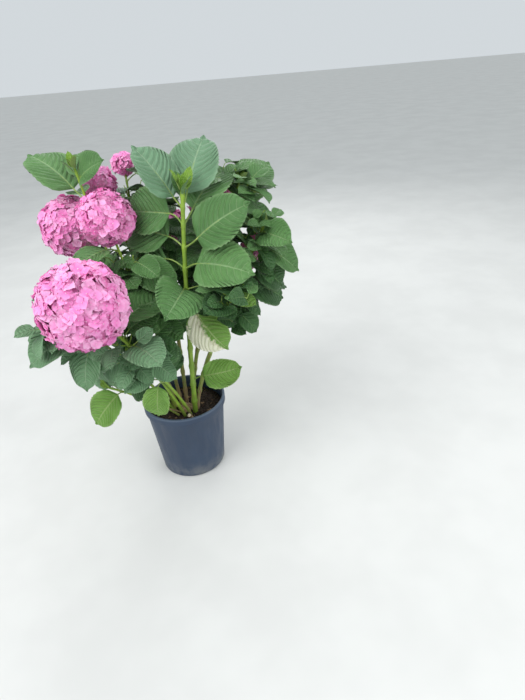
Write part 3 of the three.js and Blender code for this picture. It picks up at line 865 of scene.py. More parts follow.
def add_node(tree, kind, inputs, **settings):
    made = tree.nodes.new(kind)
    for key, value in settings.items():
        setattr(made, key, value)
    for key, value in inputs.items():
        if isinstance(value, bpy.types.NodeSocket):
            tree.links.new(value, made.inputs[key])
        else:
            made.inputs[key].default_value = value
    return made


def maths(tree, operation, *values):
    return add_node(tree, "ShaderNodeMath", dict(enumerate(values)), operation=operation).outputs[0]


def multiply(tree, first, second):
    return maths(tree, "MULTIPLY", first, second)


def add(tree, first, second):
    return maths(tree, "ADD", first, second)


def ramp(tree, value, from_low, from_high, to_low=0.0, to_high=1.0):
    given = {"Value": value, "From Min": from_low, "From Max": from_high, "To Min": to_low, "To Max": to_high}
    made = add_node(tree, "ShaderNodeMapRange", given, interpolation_type="SMOOTHSTEP")
    return made.outputs["Result"]


def linear(hex_colour):
    """A screen colour such as 0x3F7040 as the linear values that shaders work with."""
    parts = [((hex_colour >> shift) & 255) / 255 for shift in (16, 8, 0)]
    return (*[c / 12.92 if c <= 0.04045 else ((c + 0.055) / 1.055) ** 2.4 for c in parts], 1.0)


def blend_colours(tree, factor, first, second):
    """Blends two colours. Each is a screen colour or the output of another node."""
    first, second = (linear(c) if isinstance(c, int) else c for c in (first, second))
    made = add_node(tree, "ShaderNodeMix", {0: factor, 6: first, 7: second}, data_type="RGBA")
    return made.outputs[2]


def object_point(tree):
    return tree.nodes.new("ShaderNodeTexCoord").outputs["Object"]


def map_point(tree):
    return tree.nodes.new("ShaderNodeTexCoord").outputs["UV"]


def drawn_out_point(tree, height_scale):
    """Places on the piece, squeezed in height, so that a pattern on them is drawn out upright."""
    inputs = {"Vector": object_point(tree), "Scale": (1.0, 1.0, height_scale)}
    return add_node(tree, "ShaderNodeMapping", inputs).outputs["Vector"]


def split(tree, vector):
    return add_node(tree, "ShaderNodeSeparateXYZ", {0: vector}).outputs


def shade_value(tree):
    return add_node(tree, "ShaderNodeAttribute", {}, attribute_name="shade").outputs["Fac"]


def new_material(name, roughness, **constants):
    """A material, its graph and its shader, with the values that are the same all over it."""
    material = bpy.data.materials.new(name)
    material.use_nodes = True
    tree = material.node_tree
    shader = tree.nodes["Principled BSDF"]
    shader.inputs["Roughness"].default_value = roughness
    for key, value in constants.items():
        shader.inputs[key.replace("_", " ")].default_value = value
    return material, tree, shader


def add_bump(tree, shader, height, distance, strength=1.0):
    inputs = {"Height": height, "Distance": distance, "Strength": strength}
    bump = add_node(tree, "ShaderNodeBump", inputs)
    tree.links.new(bump.outputs["Normal"], shader.inputs["Normal"])


def new_group(name, inputs, outputs):
    """An empty shader group, with its input and output nodes."""
    tree = bpy.data.node_groups.new(name, "ShaderNodeTree")
    for label, kind, value in inputs:
        socket = tree.interface.new_socket(name=label, in_out="INPUT", socket_type=kind)
        if value is not None:
            socket.default_value = value
    for label in outputs:
        tree.interface.new_socket(name=label, in_out="OUTPUT", socket_type="NodeSocketFloat")
    return tree, tree.nodes.new("NodeGroupInput").outputs, tree.nodes.new("NodeGroupOutput").inputs


def make_mottle():
    inputs = [
        ("Point", "NodeSocketVector", None),
        ("Scale", "NodeSocketFloat", 10.0),
        ("Detail", "NodeSocketFloat", 3.0),
    ]
    tree, given, out = new_group("mottle", inputs, ["Mask"])
    cloudy = add_node(
        tree, "ShaderNodeTexNoise",
        {"Vector": given["Point"], "Scale": given["Scale"], "Detail": given["Detail"],
         "Roughness": MOTTLE_ROUGHNESS},
    )
    tree.links.new(ramp(tree, cloudy.outputs["Fac"], *MOTTLE_EDGES), out["Mask"])
    return tree


MOTTLE = make_mottle()


def mottle(tree, scale, detail=3.0, point=None):
    """Soft blotches: scale is how many there are to a metre, about, and detail how rough they are."""
    inputs = {"Point": point or object_point(tree), "Scale": scale, "Detail": detail}
    return add_node(tree, "ShaderNodeGroup", inputs, node_tree=MOTTLE).outputs["Mask"]


print("shared group:", MOTTLE.name)

# %% [markdown]
# ## The nursery pot
#
# The pot is blow-moulded plastic: a thin cone, a deeper collar that a hand or a carrier grips,
# and drain holes in the floor. A wall of turned section like this is one profile, spun about
# the upright axis. Its hard corners are then bevelled, because moulded plastic has none.
#
# The drain holes are cut by a Boolean modifier whose result is kept as the mesh. Fine ridges
# inside the rim are part of the profile.

# %% Turn the pot
FOOT_RADIUS = 102.5
POT_WALL = 3
COLLAR_DEPTH = 24
COLLAR_STEP = 4
POT_FLOOR = 4
FOOT_BEVEL = 4
RIM_BEVEL = 2
DRAIN_HOLES = 8
DRAIN_RADIUS = 7
DRAIN_CIRCLE = 80
DRAIN_SIDES = 24
DRAIN_CUT = 20
POT_STEPS = 96
RIDGES = 3
FIRST_RIDGE = 6
RIDGE_PITCH = 6
RIDGE_DEPTH = 1.0
POT_BEVEL = 0.9
BEVEL_OUTSIDE = 50
BEVEL_OVER = math.radians(25)
SHARP_OVER = math.radians(40)
MERGED = 1e-6


def inside_radius(height):
    """The radius of the pot's inner wall, above its floor."""
    foot_inside, rim_inside = FOOT_RADIUS - POT_WALL, RIM_RADIUS - COLLAR_STEP - POT_WALL
    return lerp(foot_inside, rim_inside, (height - POT_FLOOR) / (POT_HEIGHT - POT_FLOOR))


def pot_profile():
    """Up the outside from the middle of the foot, over the rim, and down the inside."""
    body_top = POT_HEIGHT - COLLAR_DEPTH
    body_radius = RIM_RADIUS - COLLAR_STEP
    profile = [
        (0, 0),
        (FOOT_RADIUS - FOOT_BEVEL, 0),
        (FOOT_RADIUS, FOOT_BEVEL),
        (body_radius - RIM_BEVEL, body_top),
        (RIM_RADIUS, body_top + RIM_BEVEL),
        (RIM_RADIUS, POT_HEIGHT - RIM_BEVEL),
        (RIM_RADIUS - RIM_BEVEL, POT_HEIGHT),
        (body_radius - POT_WALL, POT_HEIGHT),
    ]
    for k in range(RIDGES):
        top = POT_HEIGHT - FIRST_RIDGE - k * RIDGE_PITCH
        for down, proud in ((0, 0), (1, RIDGE_DEPTH), (2, RIDGE_DEPTH), (3, 0)):
            profile.append((inside_radius(top - down) - proud, top - down))
    return profile + [(FOOT_RADIUS - POT_WALL, POT_FLOOR), (0, POT_FLOOR)]


def turn_profile(profile, steps):
    """A closed turned shape from its profile, which is radius and height from axis to axis."""
    bm = bmesh.new()
    points = [bm.verts.new((r * MM, 0, z * MM)) for r, z in profile]
    lines = [bm.edges.new(pair) for pair in zip(points, points[1:])]
    bmesh.ops.spin(
        bm, geom=points + lines, cent=(0, 0, 0), axis=(0, 0, 1), angle=math.tau, steps=steps, use_merge=True,
    )
    bmesh.ops.remove_doubles(bm, verts=bm.verts, dist=MERGED)
    bmesh.ops.recalc_face_normals(bm, faces=bm.faces)
    return bm


def bevel_rings(bm, least_angle, width):
    """Rounds the edges that run round the axis and turn by more than an angle."""
    rings = [
        e for e in bm.edges
        if abs(e.verts[0].co.z - e.verts[1].co.z) < MERGED and len(e.link_faces) == 2
        and e.verts[0].co.xy.length > BEVEL_OUTSIDE * MM and e.calc_face_angle(0) > least_angle
    ]
    bmesh.ops.bevel(
        bm, geom=rings, offset=width * MM, offset_type="OFFSET", segments=2, profile=0.5,
        affect="EDGES", material=-1, clamp_overlap=True,
    )


def drain_cutter():
    """Upright pins where the holes are to be."""
    bm = bmesh.new()
    for k in range(DRAIN_HOLES):
        place = polar((k + 0.5) * 360 / DRAIN_HOLES, DRAIN_CIRCLE, 0) * MM
        bmesh.ops.create_cone(
            bm, cap_ends=True, segments=DRAIN_SIDES, radius1=DRAIN_RADIUS * MM, radius2=DRAIN_RADIUS * MM,
            depth=DRAIN_CUT * MM, matrix=Matrix.Translation(Vector(place)),
        )
    return mesh_of("pot_cutter", bm)


def cut_away(mesh, cutter_mesh):
    """The mesh that is left when the other one is cut away."""
    body, cutter = (bpy.data.objects.new(made.name, made) for made in (mesh, cutter_mesh))
    for made in (cutter, body):
        bpy.context.collection.objects.link(made)
    modifier = body.modifiers.new("holes", "BOOLEAN")
    modifier.operation, modifier.object, modifier.solver = "DIFFERENCE", cutter, "EXACT"
    result = bpy.data.meshes.new_from_object(body.evaluated_get(bpy.context.evaluated_depsgraph_get()))
    for made in (cutter, body):
        bpy.data.objects.remove(made)
    return result


def plastic_material():
    """Slate blue, streaked, paler on the rim's top with a painted highlight and some wear, and dust at the
    foot.
    """
    material, tree, shader = new_material("slate_blue_plastic", 0.5)
    height = split(tree, object_point(tree))["Z"]
    streaks = mottle(tree, 38, 5, drawn_out_point(tree, 0.18))
    body = blend_colours(tree, mottle(tree, 7, 2), 0x2B3B52, 0x33455D)
    streaked = blend_colours(tree, multiply(tree, streaks, 0.35), body, 0x3E4F66)
    # A paler band along the top of the rim: a painted highlight, with some wear
    lip_highlight_and_wear = multiply(tree, ramp(tree, height, 0.242, 0.2495), 0.4)
    highlit_and_rubbed = blend_colours(tree, lip_highlight_and_wear, streaked, 0x6C7D92)
    dust = multiply(tree, ramp(tree, height, 0.0, 0.07, 1.0, 0.0), mottle(tree, 26, 6))
    dusty = blend_colours(tree, multiply(tree, dust, 0.55), highlit_and_rubbed, 0x8A8A86)
    tree.links.new(dusty, shader.inputs["Base Color"])
    tree.links.new(ramp(tree, streaks, 0, 1, 0.42, 0.62), shader.inputs["Roughness"])
    add_bump(tree, shader, mottle(tree, 420, 2), 0.0002, 0.35)
    return material


def make_pot():
    bm = turn_profile(pot_profile(), POT_STEPS)
    bevel_rings(bm, BEVEL_OVER, POT_BEVEL)
    mesh = cut_away(mesh_of("pot_shape", bm), drain_cutter())
    mesh.name = "nursery_pot"
    finish_piece("nursery_pot", mesh, [plastic_material()], ["pot"])
    mesh.set_sharp_from_angle(angle=SHARP_OVER)


make_pot()

# %% [markdown]
# ## Compost
#
# The compost is a dark mix of peat and bark, lumpy from watering and drier on top. Its surface
# is a turned disc, cut finer and pushed up and down by noise at two sizes. Crumbs and chips lie
# on it as real geometry, because they catch the light one by one and throw small shadows.

# %% Lay the compost
SOIL_FLAT_RADIUS = 82
SOIL_EDGE_DROP = 6
SOIL_CLEAR = 0.6
SOIL_RINGS = 34
SOIL_STEPS = 120
LUMP_WIDTH = 17
LUMP_HEIGHT = 4.5
GRIT_WIDTH = 4.5
GRIT_HEIGHT = 1.6


def soil_edge_radius(height):
    return inside_radius(height) - SOIL_CLEAR


def soil_height(x, y):
    """The compost's surface at a place, in millimetres."""
    out = math.hypot(x, y)
    edge = smoothstep(out, SOIL_FLAT_RADIUS, soil_edge_radius(SOIL_TOP - SOIL_EDGE_DROP))
    lumps = noise.noise(Vector((x, y, 3)) / LUMP_WIDTH) * LUMP_HEIGHT
    grit = noise.noise(Vector((x, y, 9)) / GRIT_WIDTH) * GRIT_HEIGHT
    return SOIL_TOP - SOIL_EDGE_DROP * edge + lumps * 0.5 + grit


def make_soil_body():
    """A plug that fills the pot, with its top cut into rings and raised to the soil's height."""
    edge = SOIL_TOP - SOIL_EDGE_DROP
    floor = POT_FLOOR + GAP
    rim = soil_edge_radius(edge)
    profile = [(0, floor), (soil_edge_radius(floor), floor), (rim, edge)]
    profile += [(rim * (1 - k / SOIL_RINGS), edge) for k in range(1, SOIL_RINGS + 1)]
    bm = turn_profile(profile, SOIL_STEPS)
    for v in bm.verts:
        if v.co.z > (edge - 1) * MM:
            v.co.z = soil_height(v.co.x / MM, v.co.y / MM) * MM
    return mesh_of("compost", bm)


print("compost surface from", SOIL_TOP - SOIL_EDGE_DROP, "to", SOIL_TOP, "mm high")

# %% [markdown]
# Two small shapes are strewn on the compost: a crumb, which is a ball of twenty faces, and a
# flake of split bark, which is a block with its edges taken off.

# %% Strew crumbs and chips
CRUMBS = 1500
CRUMB_SIZES = (0.9, 4.2)
CRUMB_FLATNESS = 0.75
CRUMB_SEED = 41
CHIPS = 60
CHIP_SIZES = (2.0, 6.5)
CHIP_FLATNESS = 0.28
CHIP_CORNERS = 0.5
CHIP_SEED = 43
STREW_RADIUS = 114
STREW_TILT = 0.9
STREW_LENGTH = (0.8, 0.7)
STREW_WIDTH = (0.7, 0.5)
STREW_SINK = 0.4


def shape_pattern(bm):
    """A small solid as a pattern, and its points."""
    shape = np.array([v.co for v in bm.verts])
    return Pattern(bm, shape[:, 0], shape[:, 1]), shape


def chip_pattern():
    bm = bmesh.new()
    bmesh.ops.create_cube(bm, size=2)
    bmesh.ops.bevel(
        bm, geom=bm.edges[:], offset=CHIP_CORNERS, offset_type="OFFSET", segments=1, profile=0.5,
        affect="EDGES", material=-1,
    )
    return shape_pattern(bm)


def crumb_pattern():
    bm = bmesh.new()
    bmesh.ops.create_icosphere(bm, subdivisions=1, radius=1)
    return shape_pattern(bm)


def strew(pattern, shape, count, seed, sizes, flatness):
    """Copies of a shape strewn on the compost, each turned and sized by its own numbers."""
    draw = seeded(seed)
    copies = []
    for _ in range(count):
        out, way = math.sqrt(draw()) * STREW_RADIUS, draw() * math.tau
        x, y = out * math.cos(way), out * math.sin(way)
        size = lerp(*sizes, draw() ** 2)
        turn = Matrix.Rotation(draw() * math.tau, 3, "Z")
        tilt = Matrix.Rotation((draw() - 0.5) * STREW_TILT, 3, "X")
        length, width = size * drawn(*STREW_LENGTH, draw()), size * drawn(*STREW_WIDTH, draw())
        points = (shape * np.array([length, width, size * flatness])) @ np.array(turn @ tilt).T
        copies.append((pattern, points + [x, y, soil_height(x, y) + size * flatness * STREW_SINK], draw()))
    return copies


def soil_material(name, dark, light, scale):
    material, tree, shader = new_material(name, 0.95)
    fine, coarse = mottle(tree, scale * 4, 6), mottle(tree, scale)
    grain = multiply(tree, fine, add(tree, 0.4, multiply(tree, coarse, 0.6)))
    varied = add(tree, grain, multiply(tree, shade_value(tree), 0.25))
    tree.links.new(blend_colours(tree, varied, dark, light), shader.inputs["Base Color"])
    add_bump(tree, shader, fine, 0.0012)
    return material


def make_compost():
    peat = soil_material("damp_peat", 0x1B1410, 0x4A392C, 45)
    bark_chip = soil_material("dry_bark_chip", 0x5A432F, 0xA98A66, 60)
    finish_piece("compost", make_soil_body(), [peat], ["soil"])
    crumbs = strew(*crumb_pattern(), CRUMBS, CRUMB_SEED, CRUMB_SIZES, CRUMB_FLATNESS)
    finish_copies("compost_crumbs", crumbs, peat)
    chips = strew(*chip_pattern(), CHIPS, CHIP_SEED, CHIP_SIZES, CHIP_FLATNESS)
    finish_copies("bark_chips", chips, bark_chip)


make_compost()

# %% [markdown]
# ## Canes, boughs and the woody base
#
# A young hydrangea cane is round, smooth and apple green, with small corky dots. It turns tan
# and ridged with age, from the foot up. Each pair of leaves stands on a swollen node, and old
# nodes show as rings long after their leaves have gone.
#
# Each limb is a tube: a cone's ring of sides, cut into many short lengths, then laid along the
# limb's curve. Laying it by arithmetic on all points at once is quick, and the swellings and
# the bark's ridges are then simply part of the radius. The colour follows a value stored on
# every point, which says how old the wood is there.

# %% Make the canes
CANE_SIDES = 14
CANE_STEP = 5
CANE_TIP = 0.55
NODE_SWELL = 0.3
NODE_WIDTH = 7
OLD_NODE_SPACING = 62
LOWEST_BARE_NODE = 20
RIDGE_RELIEF = 0.07
RIDGES_ROUND = 5
RIDGE_WANDER = 1.3
RIDGE_WANDER_STEP = 0.35
FOOT_SINK = 5
AGE_HEIGHTS = (205, 350)
OLDER_AGE = 0.6
YOUNG_AGE = {"leader": 0.1, "front_left": 0.3, "left_low": 0.45, "right_bloom": 0.45}


def tube_pattern(sides, rings):
    """A closed tube of several rings, and for each point its ring and its angle."""
    bm = bmesh.new()
    bmesh.ops.create_cone(bm, cap_ends=True, segments=sides, radius1=1, radius2=1, depth=2)
    upright = [e for e in bm.edges if abs(e.verts[0].co.z - e.verts[1].co.z) > 1]
    bmesh.ops.subdivide_edges(bm, edges=upright, cuts=rings - 2, use_grid_fill=True)
    shape = np.array([v.co for v in bm.verts])
    share = (shape[:, 2] + 1) / 2
    angle = np.arctan2(shape[:, 1], shape[:, 0])
    pattern = Pattern(bm, angle / math.tau + 0.5, share)
    pattern.rings, pattern.angle = rings, angle
    pattern.ring = np.round(share * (rings - 1)).astype(int)
    return pattern


def lay_tube(pattern, path, radius, hint, relief=0.0):
    """The tube's points along a path, with a radius at each ring."""
    tangent = unit(np.gradient(path, axis=0))
    side = unit(hint - tangent * (tangent @ hint)[:, None])
    other = np.cross(tangent, side)
    ring = pattern.ring
    turned = pattern.angle[:, None]
    round_it = side[ring] * np.cos(turned) + other[ring] * np.sin(turned)
    wander = np.sin(ring * RIDGE_WANDER_STEP) * RIDGE_WANDER
    ridges = 1 + relief * np.sin(pattern.angle * RIDGES_ROUND + wander)
    return path[ring] + round_it * (np.asarray(radius)[ring] * ridges)[:, None]


def limb_copy(pattern, limb, hint, shade, relief=0.0):
    """A plain tapering tube along a limb."""
    shares = np.linspace(0, 1, pattern.rings)
    return pattern, lay_tube(pattern, limb.at(shares), limb.radius(shares), hint, relief), shade


def swellings(limb, depths, run):
    """How much fatter a limb is at each length because of its nodes."""
    nodes = [limb.length - depth for depth in depths]
    lowest = min(nodes) if nodes else limb.length - LOWEST_BARE_NODE
    while lowest > OLD_NODE_SPACING:
        lowest -= OLD_NODE_SPACING
        nodes.append(lowest)
    return sum(np.exp(-((run - node) / NODE_WIDTH) ** 2) for node in nodes) * NODE_SWELL


def cane_copy(limb, depths, relief, sink=0.0, age_share=1.0):
    """A cane with its nodes and ridges, whose shade is the age of the wood."""
    rings = math.ceil(limb.length / CANE_STEP) + 1
    shares = np.linspace(0, 1, rings)
    path = limb.at(shares)
    path[0, 2] -= sink
    radius = limb.radius(shares) * (1 + swellings(limb, depths, shares * limb.length))
    radius[-1] *= CANE_TIP
    pattern = tube_pattern(CANE_SIDES, rings)
    age = age_share * (1 - smoothstep(path[:, 2], *AGE_HEIGHTS))
    return pattern, lay_tube(pattern, path, radius, limb.side, relief), age[pattern.ring]


def wood_material(name, young, old, bark, spread):
    """Green rind with corky dots, which gives way to streaked bark as the stored age rises."""
    material, tree, shader = new_material(name, 0.55)
    upright = drawn_out_point(tree, 0.12)
    streaks = mottle(tree, 230, 4, upright)
    dots = add_node(tree, "ShaderNodeTexVoronoi", {"Vector": upright, "Scale": 330.0}).outputs["Distance"]
    corky = ramp(tree, dots, 0.12, 0.24, 1.0, 0.0)
    aged = add(tree, shade_value(tree), multiply(tree, streaks, spread))
    turned = ramp(tree, aged, 0.45, 1.35)
    green = blend_colours(tree, mottle(tree, 30), young, old)
    wood = blend_colours(tree, turned, green, blend_colours(tree, streaks, bark, 0x93785A))
    dotted = blend_colours(tree, multiply(tree, corky, 0.5), wood, 0x8C7B55)
    tree.links.new(dotted, shader.inputs["Base Color"])
    tree.links.new(ramp(tree, turned, 0, 1, 0.42, 0.8), shader.inputs["Roughness"])
    add_bump(tree, shader, add(tree, streaks, corky), 0.0007, 0.6)
    return material


TAN_BARK = wood_material("tan_bark", 0x8CA54A, 0x979250, 0xCBAD88, 0.8)
GREEN_RIND = wood_material("green_rind", 0x96B83E, 0x7FA23A, 0x97835A, 0.55)


def make_canes():
    """Forked stocks are old wood. Boughs and single canes are greener."""
    old, young, old_nodes, young_nodes = [], [], [], []
    for c in CANES:
        if c.stock:
            old.append(cane_copy(c.stock, [], RIDGE_RELIEF, FOOT_SINK))
            old_nodes.append(f"cane_{c.name}")
        for s in c.shoots:
            sink = 0 if s.forked else FOOT_SINK
            age = YOUNG_AGE.get(s.name, OLDER_AGE)
            young.append(cane_copy(s.limb, s.depths, RIDGE_RELIEF / 2, sink, age))
            young_nodes.append(f"bough_{s.name}" if s.forked else f"cane_{c.name}")
    finish_copies("old_canes", old, TAN_BARK, old_nodes)
    finish_copies("green_canes", young, GREEN_RIND, young_nodes)


make_canes()

# %% [markdown]
# The canes rise from a knobbly woody base, the stump of years of pruning. It starts as a ball
# that noise pushes into burrs. One cane was cut back to a stub whose sawn face is pale, and a
# dead twig arches out low over the soil.

# %% Make the woody base, the stub and the dead twig
CROWN_RADIUS = 24
CROWN_HEIGHT = 20
CROWN_SHARE = 0.95
BURRS = ((2.3, 0.2), (7, 0.08))
STUB_FOOT = (27, -70)
STUB_LEAN = (-6, -12)
STUB_LENGTH = 18
STUB_RADIUS = 6.5
STUB_TAPER = 0.9
STUB_RINGS = 9
TWIG_START = (-4, -44, 216)
TWIG_TOP = (-50, -62, 262)
TWIG_END = (-90, -60, 250)
DEAD_TWIG_RADII = (2.6, 1.6)
DEAD_TWIG_NODES = [12, 48]


def make_crown():
    bm = bmesh.new()
    bmesh.ops.create_icosphere(bm, subdivisions=5, radius=1)
    for v in bm.verts:
        burr = 1 + sum(height * noise.noise(v.co * size) for size, height in BURRS)
        ball = Vector((v.co.x * CROWN_RADIUS, v.co.y * CROWN_RADIUS, v.co.z * CROWN_HEIGHT))
        v.co = (ball * burr * CROWN_SHARE + Vector((*FOOT_MIDDLE, SOIL_TOP))) * MM
    mesh = mesh_of("woody_base", bm)
    store_shade(mesh, np.ones(len(mesh.vertices)))
    finish_piece("woody_base", mesh, [TAN_BARK], ["woody_crown"])


def cut_wood_material():
    """Pale sapwood with faint growth rings."""
    material, tree, shader = new_material("cut_face", 0.7)
    inputs = {"Vector": object_point(tree), "Scale": 160.0, "Distortion": 4.0}
    rings = add_node(tree, "ShaderNodeTexWave", inputs).outputs["Fac"]
    tree.links.new(blend_colours(tree, rings, 0xF2E9D2, 0xDCCBA4), shader.inputs["Base Color"])
    return material


def make_stub():
    foot = np.array([*STUB_FOOT, SOIL_TOP - FOOT_SINK])
    end = np.array([*np.add(STUB_FOOT, STUB_LEAN), SOIL_TOP + GAP + STUB_LENGTH])
    limb = Limb(foot, (foot + end) / 2, end, STUB_RADIUS, STUB_RADIUS * STUB_TAPER)
    copy = limb_copy(tube_pattern(CANE_SIDES, STUB_RINGS), limb, limb.side, 1.0, RIDGE_RELIEF)
    mesh = joined_mesh("pruned_stub", [copy])
    finish_piece("pruned_stub", mesh, [TAN_BARK, cut_wood_material()], ["cut_stub"])
    top = max(mesh.polygons, key=lambda face: (len(face.vertices), face.center.z))
    top.material_index = 1
    top.use_smooth = False


def make_dead_twig():
    start, top, end = (np.array(p, float) for p in (TWIG_START, TWIG_TOP, TWIG_END))
    limb = Limb(start, top, end, *DEAD_TWIG_RADII)
    finish_copies("dead_twig", [cane_copy(limb, DEAD_TWIG_NODES, RIDGE_RELIEF)], TAN_BARK)


make_crown()
make_stub()
make_dead_twig()

# %% [markdown]
# ## The leaf blade
#
# A hydrangea leaf is broad, saw-toothed and drawn out to a point. Ten pairs of side veins
# leave the midrib, sweep forward and lie sunk in the upper face, so the blade between them
# stands up in soft pillows. That quilting is what catches the light, so it is real geometry.
#
# The blade starts as a flat grid whose cross rows will follow the veins: every second or third
# row is a vein, the rows between ride high. The grid's two long edges are cut once more, which
# gives the valleys between the teeth. Each end row is then merged into one point.

# %% Cut one blade
VEIN_PAIRS = 10
BLADE_COLUMNS = 6
ROWS_A_PAIR = 3
SMALL_VEIN_PAIRS = 6
SMALL_COLUMNS = 4
SMALL_ROWS_A_PAIR = 2
ROWS_CLOSER_AT_BASE = 1.15
VEIN_SWEEP = 0.52
VEIN_SWEEP_FROM = 0.08
VEIN_CURVE = 1.3
TOOTH_DEPTH = 0.045
TOOTH_LEAN = 0.25
QUILT = 0.03
QUILT_FULLNESS = 0.6
EDGE_WAVE = 0.028
EDGE_WAVES = 8
TOUCHING = 1e-5


def blade_grid(rows, columns):
    """A flat grid with its long edges cut once more and each end drawn together in a point."""
    bm = bmesh.new()
    bmesh.ops.create_grid(bm, x_segments=rows, y_segments=columns, size=1)
    margin = [e for e in bm.edges if all(abs(v.co.y) > 1 - TOUCHING for v in e.verts)]
    bmesh.ops.subdivide_edges(bm, edges=margin, cuts=1)
    for end in (-1, 1):
        row = [v for v in bm.verts if abs(v.co.x - end) < TOUCHING]
        bmesh.ops.pointmerge(bm, verts=row, merge_co=(end, 0, 0))
    return bm


def blade_pattern(vein_pairs, columns, rows_a_pair):
    """A blade's grid, with each point's share of the length, its side and how high it is quilted."""
    rows = vein_pairs * rows_a_pair
    bm = blade_grid(rows, columns)
    grid = np.array([v.co for v in bm.verts])
    side, along = grid[:, 1], (grid[:, 0] + 1) / 2
    pattern = Pattern(bm, side / 2 + 0.5, along)
    between_rows = np.abs(along * rows - np.round(along * rows)) > 0.25
    valley = (np.abs(side) > 1 - TOUCHING) & between_rows
    start = along ** ROWS_CLOSER_AT_BASE
    sweep = VEIN_SWEEP * (1 - start) * (1 - np.exp(-start / VEIN_SWEEP_FROM))
    pattern.share = start + sweep * np.abs(side) ** VEIN_CURVE
    pattern.share[valley] += TOOTH_LEAN / rows * (1 - along[valley])
    pattern.share = np.clip(pattern.share, 0, 1)
    pattern.side = side * np.where(valley, 1 - TOOTH_DEPTH, 1)
    off_vein = (1 - np.cos(math.tau * along * vein_pairs)) / 2
    pattern.quilt = off_vein * np.sin(math.pi * np.abs(side)) ** QUILT_FULLNESS
    return pattern


def leaf_points(leaf, pattern):
    """The blade's points on a leaf, quilted, with a wave along its edge."""
    phase = leaf.wave * math.tau
    ripple = np.sin(pattern.share * EDGE_WAVES + phase) * np.abs(pattern.side) ** 2
    lift = leaf.length * (QUILT * pattern.quilt + EDGE_WAVE * ripple)
    return blade_points(leaf, pattern.share, pattern.side, lift)


LARGE_BLADE = blade_pattern(VEIN_PAIRS, BLADE_COLUMNS, ROWS_A_PAIR)
SMALL_BLADE = blade_pattern(SMALL_VEIN_PAIRS, SMALL_COLUMNS, SMALL_ROWS_A_PAIR)
print("large blade", len(LARGE_BLADE.faces), "faces, small blade", len(SMALL_BLADE.faces), "faces")

# %% [markdown]
# ## Leaf finishes
#
# The upper face is a deep green with a cool, waxy sheen, the underside paler. Veins show as
# paler lines, and the colour shifts a little from leaf to leaf. The lines follow the blade's own
# map: one direction runs from edge to edge, the other from base to tip, so a vein is simply a
# place where the second one passes a whole number.
#
# The tints are separate materials on separate pieces. Three of them paint light and shade: a darker
# green that is painted shade, low down, on the right and inside the crown, a lighter green that is
# painted light high up and on the left, and a paler, greyer green low down on the left that is a
# painted reflection of the sky. Mid green lies between them, lime is where one hangs in the sun,
# and yellow-green is on the youngest at the tips.

# %% Make the leaf finishes
# Four of these tints paint light and shade: the first is painted shade, the second lies between, the third is
# painted light and the fourth a painted reflection of the sky. Lime and young are the leaves' own colours
LEAF_TINTS = {
    "deep": (0x335B2F, 0x45733B, 0x86AD70),
    "mid": (0x558348, 0x6A9A57, 0xA8C993),
    "fresh": (0x678F6B, 0x7DA781, 0xB4D0AC),
    "dusty": (0x6A9568, 0x84AE82, 0xAECEA6),
    "lime": (0x6B9C3A, 0x8CBC58, 0xD0E2A2),
    "young": (0x7EB038, 0xA6CE58, 0xDCEDA4),
}
VEIN_STRENGTH = 0.5
EDGE_STRENGTH = 0.25
UNDERSIDE_PALE = 0.45
OWN_SHADE = 0.6
PATCHY_SHADE = 0.4
MIDRIB = (0.015, 0.06)
SIDE_VEIN = (0.04, 0.2)
SIDE_VEIN_STRENGTH = 0.75
SIDE_VEIN_AT_EDGE = 0.35
BLADE_EDGE = (0.86, 1.0)
LEAF_GLOSS = (0.28, 0.42)


def make_vein_group():
    """From a blade's own map: lines on the veins, pillows between them, and the rim."""
    inputs = [("UV", "NodeSocketVector", None), ("Pairs", "NodeSocketFloat", 9.0)]
    tree, given, out = new_group("leaf_veins", inputs, ["Vein", "Pillow", "Edge"])
    place = split(tree, given["UV"])
    across = maths(tree, "ABSOLUTE", maths(tree, "SUBTRACT", multiply(tree, place["X"], 2.0), 1.0))
    midrib = ramp(tree, across, *MIDRIB, 1.0, 0.0)
    count = multiply(tree, place["Y"], given["Pairs"])
    off_vein = multiply(tree, maths(tree, "PINGPONG", count, 0.5), 2.0)
    side_vein = ramp(tree, off_vein, *SIDE_VEIN, SIDE_VEIN_STRENGTH, 0.0)
    fading = ramp(tree, across, 0.3, 1.0, 1.0, SIDE_VEIN_AT_EDGE)
    vein = maths(tree, "MAXIMUM", midrib, multiply(tree, side_vein, fading))
    tree.links.new(vein, out["Vein"])
    tree.links.new(multiply(tree, off_vein, ramp(tree, across, 0.0, 0.2)), out["Pillow"])
    tree.links.new(ramp(tree, across, *BLADE_EDGE), out["Edge"])
    return tree


VEIN_GROUP = make_vein_group()


def vein_masks(tree, pairs):
    inputs = {"UV": map_point(tree), "Pairs": pairs}
    return add_node(tree, "ShaderNodeGroup", inputs, node_tree=VEIN_GROUP).outputs


def leaf_colour(tree, masks, low, high, pale):
    """A tint that varies by leaf and by patch, with pale veins and rim, and paler underneath."""
    own = multiply(tree, shade_value(tree), OWN_SHADE)
    patchy = multiply(tree, mottle(tree, 22), PATCHY_SHADE)
    body = blend_colours(tree, add(tree, own, patchy), low, high)
    veined = blend_colours(tree, multiply(tree, masks["Vein"], VEIN_STRENGTH), body, pale)
    edged = blend_colours(tree, multiply(tree, masks["Edge"], EDGE_STRENGTH), veined, pale)
    turned_over = tree.nodes.new("ShaderNodeNewGeometry").outputs["Backfacing"]
    return blend_colours(tree, multiply(tree, turned_over, UNDERSIDE_PALE), edged, pale)


